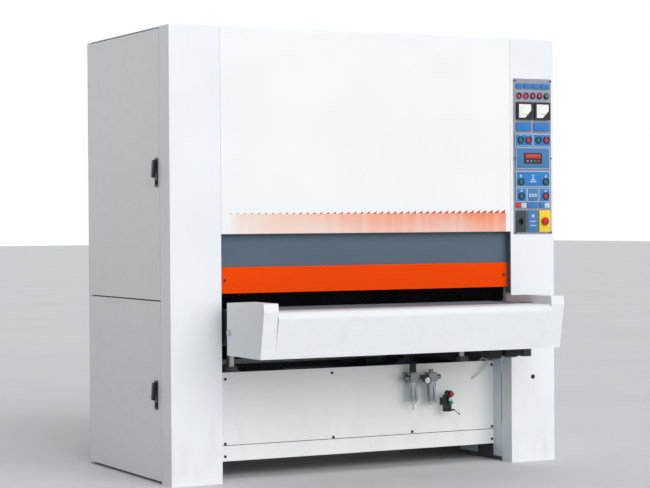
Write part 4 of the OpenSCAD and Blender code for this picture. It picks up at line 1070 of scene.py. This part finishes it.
@dataclass
class HoodTeeth:
    """The row of printed triangles on the hood, from small dots to full teeth."""

    count: int = 42
    left: float = -0.717
    right: float = 0.738
    foot: float = 1.2085
    front: float = -0.5101
    first: float = 0.34
    unit_width: float = 0.034
    unit_height: float = 0.0175

    def build(self, finishes: Finishes) -> None:
        """Prints the row."""
        ink = finishes.get(Plastic("tooth_orange", linear(206, 62, 14), 0.5))
        tooth = Shape()
        w, h = self.unit_width, self.unit_height
        outline = [(-w, 0), (-0.1 * w, 0), (0, h), (-0.35 * w, 0.66 * h), (-0.7 * w, 0.3 * h)]
        tooth.plate(outline, -0.0002, 0.0003)
        step = (self.right - self.left) / (self.count - 1)
        row = tooth.row("tooth", ink, self.count, (self.left, self.front, self.foot), (step, 0.0, 0.0),
                        first_size=(self.first, 1.0, self.first))
        place(row, "hood_teeth", [ink], "frame")


@dataclass
class Screws:
    """Socket screws that hold the sheet-metal covers."""

    head: float = 0.0062
    socket: float = 0.0036
    height: float = 0.0036

    def group(self, name: str, spots: Iterable[Point], turn: Point, body: str, finishes: Finishes,
              scale: float = 1.0) -> None:
        """Drives one group of screws.

        Args:
            name: The piece's name.
            spots: Where the heads sit.
            turn: How far a head that faces up is turned, in degrees.
            body: The body that they ride on.
            finishes: The finishes.
            scale: Their size against the usual one.
        """
        mesh = bpy.data.meshes.new(name)
        mesh.from_pydata(list(spots), [], [])
        rim = finishes.get(Plastic("screw_rim", linear(40, 42, 45), 0.4))
        # The socket's darker grey is painted shade in the recess; the rim is the screw's own dark finish.
        core = finishes.get(Plastic("screw_socket", linear(24, 26, 28), 0.5))
        heads = screw_recipe().run(mesh, {
            "Head Radius": self.head * scale, "Socket Radius": self.socket * scale, "Height": self.height,
            "Turn": tuple(math.radians(a) for a in turn), "Rim": rim, "Core": core})
        place(heads, name, [rim, core], body)

    def build(self, finishes: Finishes) -> None:
        """Drives every group."""
        base = [(-0.678, 0.455), (-0.127, 0.461), (0.758, 0.465), (-0.68, 0.158), (-0.122, 0.158),
                (0.306, 0.16), (0.758, 0.162), (-0.68, 0.1), (0.758, 0.1)]
        guard = [(x, -0.4805, 0.911) for x in (-0.738, 0.744)]
        side = [(1.0138, y, z) for y in (-0.385, 0.06, 0.49) for z in (0.06, 0.43, 0.79, 0.86, 1.3, 1.7, 2.0)]
        hood = [(x, 0.5105, z) for x in (-0.73, -0.37, 0.0, 0.37, 0.73) for z in (1.3, 2.02)]
        casing = [(s * x, 0.5105, z) for s in (-1, 1) for x in (0.8, 0.985) for z in (0.06, 0.7, 1.36, 2.02)]
        cover = [(s * 0.7725, y, 0.6) for s in (-1, 1) for y in (0.62, 0.74, 0.86)]
        forward, backward, sideways = (90, 0, 0), (-90, 0, 0), (0, 90, 0)
        rows = {
            "base_screws": ([(x, -0.3458, z) for x, z in base], forward, "frame", 1.0),
            "rear_base_screws": ([(x, 0.4555, z) for x, z in base], backward, "frame", 1.0),
            "guard_screws": (guard, forward, "frame", 1.0),
            "right_cover_screws": (side, sideways, "frame", 1.1),
            "rear_hood_screws": (hood, backward, "frame", 1.0),
            "rear_casing_screws": (casing, backward, "frame", 1.0),
            "outfeed_cover_screws": (cover, sideways, "table", 1.0),
        }
        for name, (spots, turn, body, scale) in rows.items():
            self.group(name, spots, turn, body, finishes, scale)


@dataclass
class ControlFace:
    """The printed fields, frames, arrows and icons of the control panel, with its corner screws."""

    left: float = 0.785
    foot: float = 1.106
    front: float = -0.5191
    lift: float = 0.0004
    fields: Sequence[tuple[float, float, float, float, Ink]] = (
        (13, 706, 53, 730, Ink.BLUE), (59, 706, 101, 730, Ink.BLUE), (107, 706, 149, 730, Ink.BLUE),
        (155, 706, 205, 730, Ink.BLUE), (6, 691, 211, 693, Ink.LIGHT), (6, 645, 211, 647, Ink.LIGHT),
        (13, 500, 97, 541, Ink.BLUE), (114, 500, 204, 541, Ink.BLUE), (6, 426, 106, 487, Ink.LIGHT),
        (9, 429, 103, 484, Ink.BLUE), (110, 426, 211, 487, Ink.LIGHT), (113, 429, 208, 484, Ink.BLUE),
        (9, 316, 205, 421, Ink.LIGHT), (12, 319, 202, 418, Ink.SLATE), (9, 230, 205, 306, Ink.LIGHT),
        (12, 233, 202, 303, Ink.BLUE), (10, 157, 71, 225, Ink.LIGHT), (13, 160, 68, 222, Ink.BLUE),
        (73, 157, 138, 225, Ink.LIGHT), (76, 160, 135, 222, Ink.SLATE), (142, 157, 205, 225, Ink.LIGHT),
        (145, 160, 202, 222, Ink.BLUE), (10, 128, 38, 152, Ink.RED), (39, 128, 68, 152, Ink.LIGHT),
        (76, 128, 135, 152, Ink.BLUE), (145, 128, 173, 152, Ink.BLUE), (174, 128, 203, 152, Ink.LIGHT),
        (9, 10, 68, 115, Ink.DARK), (77, 10, 135, 115, Ink.SLATE), (142, 10, 207, 115, Ink.YELLOW))
    arrows: Sequence[tuple[float, float, int]] = ((37, 281, 1), (181, 281, -1), (39, 207, 1), (179, 207, 1))
    dots: Sequence[tuple[float, float, float]] = ((90, 191, 6), (106, 191, 6), (122, 191, 6), (106, 88, 8))
    bars: Sequence[tuple[float, float, float, float]] = (
        (84, 181, 128, 184), (88, 252, 126, 257), (94, 262, 120, 266), (104, 266, 110, 286),
        (98, 284, 116, 288), (27, 475, 45, 478), (72, 475, 90, 478), (129, 475, 147, 478),
        (176, 475, 194, 478), (88, 60, 124, 64), (88, 40, 124, 44))
    screws: Sequence[tuple[float, float]] = ((6, 744), (211, 744), (6, 8), (211, 8), (6, 368), (211, 368))

    def spot(self, x: float, z: float) -> tuple[float, float]:
        """Returns a place on the panel, from millimetres off its lower left corner."""
        return self.left + x / 1000, self.foot + z / 1000

    def build(self, finishes: Finishes) -> None:
        """Prints the panel."""
        order = list(Ink)
        shape = Shape()
        for x0, z0, x1, z1, ink in self.fields:
            low, high = self.spot(x0, z0), self.spot(x1, z1)
            lift = self.lift * (1 if ink is Ink.LIGHT and x1 - x0 > 40 else 1.6)
            shape.block((low[0], self.front - lift, low[1]), (high[0], self.front + 0.0004, high[1]),
                        order.index(ink), 0.0001)
        light = order.index(Ink.LIGHT)
        deck = self.front - self.lift * 1.6
        for x, z, turn in self.arrows:
            self.arrow(shape, x, z, turn, deck, light)
        for x, z, radius in self.dots:
            self.dot(shape, x, z, radius, deck, light)
        for edges in self.bars:
            self.bar(shape, *edges, deck, light)
        shape.finish("control_face", finishes.several(*(INKS[ink] for ink in order)), "frame", "panel_grey")
        self.collars(finishes)
        spots = [(self.spot(x, z)[0], self.front - 0.0002, self.spot(x, z)[1]) for x, z in self.screws]
        Screws(head=0.0042, socket=0.0022, height=0.0024).group(
            "control_screws", spots, (90, 0, 0), "frame", finishes)

    def collars(self, finishes: Finishes) -> None:
        """Sets a moulded collar round each button and each lamp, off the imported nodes' own places."""
        shape = Shape()
        for name in ("head_1_start_button", "head_1_stop_button", "head_2_start_button", "head_2_stop_button",
                     "table_up_button", "table_down_button", "feed_start_button", "feed_stop_button"):
            low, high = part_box(name)
            centre = ((low[0] + high[0]) / 2, self.front + 0.0005, (low[2] + high[2]) / 2)
            inner = (high[0] - low[0]) / 2 + 0.0006
            self.collar(shape, centre, inner, inner + 0.0046, 0.0052)
        low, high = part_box("pilot_lights")
        radius = (high[2] - low[2]) / 2
        pitch = (high[0] - low[0] - 2 * radius) / 4
        for k in range(5):
            centre = (low[0] + radius + k * pitch, self.front + 0.0005, low[2] + radius)
            self.collar(shape, centre, radius - 0.0012, radius + 0.0026, 0.0024)
        shape.finish("panel_collars", finishes.several(KNOB), "frame", "knob_black")

    def collar(self, shape: Shape, centre: Point, inner: float, outer: float, height: float) -> None:
        """Adds one collar that stands off the panel.

        Args:
            shape: The shape that it is added to.
            centre: The middle of its foot.
            inner: The radius of its bore.
            outer: Its outer radius.
            height: How far it stands off.
        """
        soft = (outer - inner) * 0.25
        section = [(inner, 0), (outer, 0), (outer, height - soft), (outer - soft, height),
                   (inner + soft, height), (inner, height - soft), (inner, 0)]
        shape.turned(centre, (0, -1, 0), section, 0, 40)

    def arrow(self, shape: Shape, x: float, z: float, turn: int, deck: float, slot: int) -> None:
        """Prints an arrow.

        Args:
            shape: The shape that it is added to.
            x: Its middle, from the panel's left edge in millimetres.
            z: Its middle, from the panel's foot in millimetres.
            turn: 1 where it points up and -1 where it points down.
            deck: Y of the face under it.
            slot: The index of its material.
        """
        outline = [(-3, -9), (3, -9), (3, 1), (8, 1), (0, 10), (-8, 1), (-3, 1)]
        shape.plate([self.spot(x + a, z + turn * b) for a, b in outline], deck - 0.0003, deck + 0.0003, slot)

    def dot(self, shape: Shape, x: float, z: float, radius: float, deck: float, slot: int) -> None:
        """Prints a round dot, placed and sized in millimetres."""
        ring = [self.spot(x + radius * math.cos(k * math.pi / 12), z + radius * math.sin(k * math.pi / 12))
                for k in range(24)]
        shape.plate(ring, deck - 0.0003, deck + 0.0003, slot)

    def bar(self, shape: Shape, x0: float, z0: float, x1: float, z1: float, deck: float, slot: int) -> None:
        """Prints a plain bar between two corners in millimetres."""
        low, high = self.spot(x0, z0), self.spot(x1, z1)
        shape.plate([low, (high[0], low[1]), high, (low[0], high[1])], deck - 0.0003, deck + 0.0003, slot)


@dataclass
class Meters:
    """The faces of the two ammeters and of the digital display."""

    front: float = -0.527
    boxes: Sequence[tuple[float, float]] = ((0.799, 0.887), (0.901, 0.989))
    low: float = 1.661
    high: float = 1.745
    margin: float = 0.0095
    pivot_inset: float = 0.012
    corner: float = 0.034
    hand_length: float = 0.048
    hand_angle: float = 12.0
    tick_count: int = 17
    display: tuple[float, float, float, float] = (0.84, 1.448, 0.943, 1.5)
    display_front: float = -0.521
    key_left: float = 0.012
    key_pitch: float = 0.021
    key_width: float = 0.014
    key_foot: float = 0.007
    key_top: float = 0.017

    def dial(self, left: float, right: float, finishes: Finishes, name: str) -> None:
        """Makes one ammeter's face.

        Args:
            left: X of the meter's left edge.
            right: X of its right edge.
            finishes: The finishes.
            name: The piece's name.
        """
        shape = Shape()
        margin, inset, corner = self.margin, self.pivot_inset, self.corner
        inner = (left + margin, right - margin, self.low + margin, self.high - margin)
        deck = self.front - 0.0003
        shape.plate([(inner[0], inner[2]), (inner[1], inner[2]), (inner[1], inner[3]), (inner[0], inner[3])],
                    deck, self.front + 0.0003, 0)
        pivot = (inner[1] - inset, inner[2] + inset)
        cover = [(inner[1] - corner, inner[2]), (inner[1], inner[2]), (inner[1], inner[2] + corner)]
        shape.plate(cover, deck - 0.0006, deck, 1)
        angle = math.radians(self.hand_angle)
        tip = (pivot[0] - self.hand_length * math.cos(angle), pivot[1] + self.hand_length * math.sin(angle))
        hand = [(pivot[0], pivot[1] - 0.0008), tip, (pivot[0], pivot[1] + 0.0008)]
        shape.plate(hand, deck - 0.0009, deck - 0.0002, 1)
        shape.finish(f"{name}_face", finishes.several(DIAL, HOUSING), "frame", "meter_plastic")
        tick = Shape()
        tick.plate([(-0.056, -0.0004), (-0.0505, -0.0004), (-0.0505, 0.0004), (-0.056, 0.0004)],
                   -0.0002, 0.0002)
        ink = finishes.get(INKS[Ink.DARK])
        turn = math.radians(90 / (self.tick_count - 1))
        ticks = tick.row("tick", ink, self.tick_count, (pivot[0], deck, pivot[1]), turn=(0.0, turn, 0.0))
        place(ticks, f"{name}_ticks", [ink], "frame")

    def build(self, finishes: Finishes) -> None:
        """Makes the faces."""
        for name, (left, right) in zip(("ammeter_1", "ammeter_2"), self.boxes):
            self.dial(left, right, finishes, name)
        x0, z0, x1, z1 = self.display
        shape = Shape()
        front = self.display_front
        back = front + 0.0005
        shape.block((x0 + 0.008, front - 0.0012, z0 + 0.026), (x1 - 0.008, back, z1 - 0.006), 0, 0.0008)
        for k, slot in enumerate((1, 1, 2, 3)):
            left = x0 + self.key_left + k * self.key_pitch
            shape.block((left, front - 0.0022, z0 + self.key_foot),
                        (left + self.key_width, back, z0 + self.key_top), slot, 0.0012)
        keys = finishes.several(GLOW, GREY_KEY, INKS[Ink.GREEN], RED)
        shape.finish("display_face", keys, "frame", "display_plastic")


@dataclass
class AirTrim:
    """The gauge's face, the bowls' guards and the hand valve's small parts."""

    gauge: Point = (0.334, -0.449, 0.413)
    gauge_radius: float = 0.019
    bowls: Sequence[tuple[float, float]] = ((0.281, 0.3), (0.381, 0.29))
    bowl_radius: float = 0.0208
    bowl_y: float = -0.4
    bowl_top: float = 0.397
    valve_band: tuple[float, float] = (0.306, 0.324)
    valve_tab: tuple[float, float] = (0.292, 0.305)
    lever_foot: float = 0.268
    lever_way: Point = (0.75, -0.2, -0.62)

    def build(self, finishes: Finishes) -> None:
        """Makes the trim."""
        x, y, z = self.gauge
        r = self.gauge_radius
        shape = Shape()
        foot = (x, y + 0.0004, z)
        rim = [(r * 0.78, 0.0), (r, 0.0), (r, 0.0022), (r * 0.97, 0.003), (r * 0.86, 0.003),
               (r * 0.84, 0.0012), (r * 0.78, 0.0012), (r * 0.78, 0.0)]
        shape.turned(foot, (0, -1, 0), rim, 0, 48)
        shape.turned(foot, (0, -1, 0), [(0, 0.0), (r * 0.85, 0.0), (r * 0.85, 0.001), (0, 0.001)], 1, 48)
        shape.turned((x, y, z), (0, -1, 0), [(0, 0.0), (0.0018, 0.0), (0.0018, 0.0014), (0, 0.0018)], 0, 16)
        shape.plate([(x - 0.0008, z), (x - 0.0095, z + 0.0075), (x, z + 0.0008)], y - 0.0012, y - 0.0007, 2)
        shape.finish("gauge_face", finishes.several(HOUSING, DIAL, RED), "frame", "meter_plastic")
        tick = Shape()
        tick.plate([(-0.0145, -0.0003), (-0.0118, -0.0003), (-0.0118, 0.0003), (-0.0145, 0.0003)],
                   -0.0002, 0.0002)
        ink = finishes.get(INKS[Ink.DARK])
        ticks = tick.row("gauge_tick", ink, 19, (x, y - 0.0006, z), first_turn=(0.0, math.radians(-45), 0.0),
                         turn=(0.0, math.radians(15), 0.0))
        place(ticks, "gauge_ticks", [ink], "frame")
        self.cages(finishes)
        self.valve(finishes)

    def cages(self, finishes: Finishes) -> None:
        """Puts a slatted metal guard round each bowl."""
        steel = finishes.get(Steel("guard_steel", (0.42, 0.45, 0.48), 0.32, (1, 1, 0.02), 500.0, 0.05))
        r = self.bowl_radius + 0.0006
        for name, (x, low) in zip(("filter", "lubricator"), self.bowls):
            slat = Shape()
            slat.block((r - 0.0003, -0.0052, low + 0.018), (r + 0.0009, 0.0052, 0.386), 0, 0.0004)
            slats = slat.row("slat", steel, 8, (x, self.bowl_y, 0.0), first_turn=(0.0, 0.0, 0.3),
                             turn=(0.0, 0.0, math.radians(45)))
            place(slats, f"{name}_slats", [steel], "frame")
            bands = Shape()
            for foot, top in ((low + 0.014, low + 0.024), (0.380, self.bowl_top)):
                section = [(r - 0.0003, foot), (r + 0.0012, foot), (r + 0.0012, top), (r - 0.0003, top),
                           (r - 0.0003, foot)]
                bands.turned((x, self.bowl_y, 0), (0, 0, 1), section, 0, 40)
            bands.finish(f"{name}_bands", [steel], "frame", "air_metal")

    def valve(self, finishes: Finishes) -> None:
        """Adds the hand valve's bright band, its green tab and the bent wire lever."""
        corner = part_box("hand_valve")[0]
        x = corner[0] + 0.022
        front = corner[1] + 0.004
        back = front + 0.004
        shape = Shape()
        low, high = self.valve_band
        shape.block((x - 0.009, front - 0.0065, low), (x + 0.010, back, high), 0, 0.002)
        low, high = self.valve_tab
        shape.block((x - 0.004, front - 0.0085, low), (x + 0.011, back, high), 1, 0.002)
        lever = [(0, 0), (0.0018, 0), (0.0018, 0.034), (0.0032, 0.036), (0.0032, 0.044), (0, 0.045)]
        shape.turned((x + 0.014, front - 0.001, self.lever_foot), self.lever_way, lever, 2, 16)
        band = Steel("valve_steel", (0.6, 0.62, 0.64), 0.3, (1, 1, 1), 500.0, 0.0)
        shape.finish("valve_trim", finishes.several(band, INKS[Ink.GREEN], KNOB), "frame", "valve_black")


@dataclass
class TableTrim:
    """The black conduits and the square bar that hang under the table's right end."""

    conduits: Sequence[tuple[float, float, float]] = ((0.493, 0.587, 0.52), (0.594, 0.688, 0.526))
    bar: tuple[float, float, float] = (0.70, 0.745, 0.529)
    deck: float = 0.6155
    middle: float = -0.70
    conduit_reach: float = 0.028
    bar_reach: float = 0.02

    def build(self, finishes: Finishes) -> None:
        """Hangs the trim on the table."""
        shape = Shape()
        near, far = self.middle - self.conduit_reach, self.middle + self.conduit_reach
        for left, right, low in self.conduits:
            shape.block((left, near, low), (right, far, self.deck), 0, 0.022)
        left, right, low = self.bar
        near, far = self.middle - self.bar_reach, self.middle + self.bar_reach
        shape.block((left, near, low), (right, far, self.deck), 1, 0.003)
        shape.finish("table_fittings", finishes.several(CONDUIT, DARK), "table", "frame_paint")


@dataclass
class Curtains:
    """Rubber strips that keep the dust in: behind the guard, and under the outfeed end of the table."""

    half: float = 0.752
    count: int = 48
    guard_y: float = -0.4625
    guard_top: float = 0.866
    guard_foot: float = 0.7885
    rear_y: float = 0.562
    rear_top: float = 0.612
    rear_foot: float = 0.452
    gauge: float = 0.002

    def strips(self, y: float, foot: float, top: float, finish: bpy.types.Material) -> bpy.types.Mesh:
        """Hangs one row of strips.

        Args:
            y: Where the row hangs.
            foot: The height of its lower edge.
            top: The height of its upper edge.
            finish: The rubber.

        Returns:
            The row as a plain mesh.
        """
        pitch = 2 * self.half / self.count
        strip = Shape()
        half_width, half_gauge = pitch * 0.49, self.gauge / 2
        strip.block((-half_width, -half_gauge, foot - top), (half_width, half_gauge, 0), 0, 0.0004)
        return strip.row("strip", finish, self.count, (-self.half + pitch / 2, y, top), (pitch, 0.0, 0.0))

    def build(self, finishes: Finishes) -> None:
        """Hangs both rows."""
        rubber = finishes.get(STRIP)
        row = self.strips(self.guard_y, self.guard_foot, self.guard_top, rubber)
        front = place(row, "guard_strips", [rubber], None)
        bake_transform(front)
        row = self.strips(self.rear_y, self.rear_foot, self.rear_top, rubber)
        place(row, "rear_strips", [rubber], "table")


@dataclass
class Louvres:
    """Pressed ventilation louvres in the rear casings, and beads on the dust spigots."""

    width: float = 0.11
    height: float = 0.009
    depth: float = 0.006
    pitch: float = 0.02
    count: int = 14
    taper: float = 0.06
    banks: Sequence[tuple[str, Point]] = (
        ("rear_right_louvres", (0.89, 0.5101, 0.25)), ("rear_left_louvres", (-0.89, 0.5101, 0.25)))
    spigots: Sequence[Point] = ((-0.35, 0.6, 1.7), (0.35, 0.6, 1.7))
    spigot_radius: float = 0.1

    def bank(self, name: str, start: Point, finish: bpy.types.Material) -> None:
        """Presses one bank of louvres that face the back, one over the other.

        Args:
            name: The piece's name.
            start: The middle of the lowest louvre's back edge.
            finish: The paint.
        """
        louvre = Shape()
        part = bmesh.new()
        half, d, h = self.width / 2, self.depth, self.height
        outline = [(0.0002, 0), (-d, 0), (-d * 0.92, h * 0.3), (-d * 0.5, h * 0.75), (0.0002, h)]
        sides = [[part.verts.new((x * (1 - self.taper * (k in (1, 2))), y, z))
                  for k, (y, z) in enumerate(outline)] for x in (-half, half)]
        part.faces.new(sides[0])
        part.faces.new(sides[1])
        for k in range(len(outline)):
            after = (k + 1) % len(outline)
            part.faces.new((sides[0][k], sides[0][after], sides[1][after], sides[1][k]))
        louvre.take(part, 0, False)
        bank = louvre.row("louvre", finish, self.count, start, (0.0, 0.0, self.pitch), (0.0, 0.0, math.pi))
        place(bank, name, [finish], "frame")

    def build(self, finishes: Finishes) -> None:
        """Presses every bank and rolls the beads."""
        white = finishes.get(WHITE)
        for name, start in self.banks:
            self.bank(name, start, white)
        shape = Shape()
        r = self.spigot_radius
        bead = [(r - 0.0002, -0.004), (r + 0.002, -0.003), (r + 0.003, 0.0), (r + 0.002, 0.003),
                (r - 0.0002, 0.004), (r - 0.0002, -0.004)]
        for spot in self.spigots:
            shape.turned(spot, (0, 1, 0), bead, 0, 64)
        shape.finish("spigot_beads", [white], "frame", "casing_white")


@dataclass
class DoorLocks:
    """The grey key locks in the lower third of the door handles' plates; each keyway is a black bar of
    painted shade.
    """

    locks: Sequence[tuple[str, float, float]] = (("upper_door", -0.363, 1.354), ("lower_door", -0.344, 0.354))
    face: float = -1.027
    radius: float = 0.0082

    def build(self, finishes: Finishes) -> None:
        """Fits both locks."""
        grey = Steel("lock_steel", (0.55, 0.56, 0.58), 0.3, (1, 1, 1), 600.0, 0.0)
        for body, y, z in self.locks:
            shape = Shape()
            r = self.radius
            section = [(0, -0.001), (r, -0.001), (r, 0.0006), (r * 0.9, 0.0012), (0, 0.0012)]
            shape.turned((self.face, y, z), (-1, 0, 0), section, 0, 32)
            # The black bar stands for the keyway: painted shade in the slot.
            slot_low = (self.face - 0.0016, y - 0.0009, z - 0.004)
            shape.block(slot_low, (self.face - 0.001, y + 0.0009, z + 0.004), 1)
            shape.finish(f"{body}_lock", finishes.several(grey, KNOB), body, "handle_black")


@dataclass
class SupplyBox:
    """The mains connection box on the back of the right column."""

    low: Point = (0.82, 0.5098, 0.98)
    high: Point = (0.96, 0.565, 1.18)

    def build(self, finishes: Finishes) -> None:
        """Builds the box, its lid, its screws and its cable glands."""
        shape = Shape()
        shape.block(self.low, self.high, 0, 0.004)
        lid_low = (self.low[0] - 0.002, self.high[1] - 0.014, self.low[2] - 0.002)
        lid_high = (self.high[0] + 0.002, self.high[1] + 0.002, self.high[2] + 0.002)
        shape.block(lid_low, lid_high, 0, 0.003)
        for x in (self.low[0] + 0.04, self.high[0] - 0.04):
            middle = (x, (self.low[1] + self.high[1]) / 2 - 0.004, self.low[2] + 0.001)
            gland = [(0, 0), (0.013, 0), (0.013, 0.007), (0.011, 0.008), (0.011, 0.02), (0.008, 0.024),
                     (0, 0.024)]
            shape.turned(middle, (0, 0, -1), gland, 1, 24)
        shape.finish("supply_box", finishes.several(SIDE, KNOB), "frame", "side_grey")
        spots = [(x, self.high[1] + 0.0015, z) for x in (self.low[0] + 0.01, self.high[0] - 0.01)
                 for z in (self.low[2] + 0.01, self.high[2] - 0.01)]
        small = Screws(head=0.004, socket=0.0022, height=0.0024)
        small.group("supply_box_screws", spots, (-90, 0, 0), "frame", finishes)


@dataclass
class ColumnPlug:
    """The round black plug on the right column's front."""

    centre: Point = (0.891, -0.5099, 0.412)
    radius: float = 0.011

    def build(self, finishes: Finishes) -> None:
        """Fits the plug."""
        shape = Shape()
        r = self.radius
        section = [(0, -0.004), (r * 0.7, -0.004), (r * 0.7, 0.0), (r, 0.0), (r, 0.0015), (r * 0.85, 0.0028),
                   (r * 0.3, 0.0034), (0, 0.0034)]
        shape.turned(self.centre, (0, -1, 0), section, 0, 40)
        shape.finish("column_plug", finishes.several(KNOB), "frame", "knob_black")


def main() -> None:
    """Builds the scene in order and reports each piece."""
    logging.basicConfig(level=logging.INFO, format="%(message)s")
    finishes = Finishes()
    studio = Studio()
    studio.camera()
    AirHoses().build(finishes)
    studio.build()
    Dressing(frame["nodes"]).build(finishes)
    for part in (HoodTeeth, Screws, ControlFace, Meters, AirTrim, TableTrim, Curtains, Louvres, DoorLocks,
                 SupplyBox, ColumnPlug):
        part().build(finishes)
    bpy.context.view_layer.update()


if __name__ == "__main__":
    main()
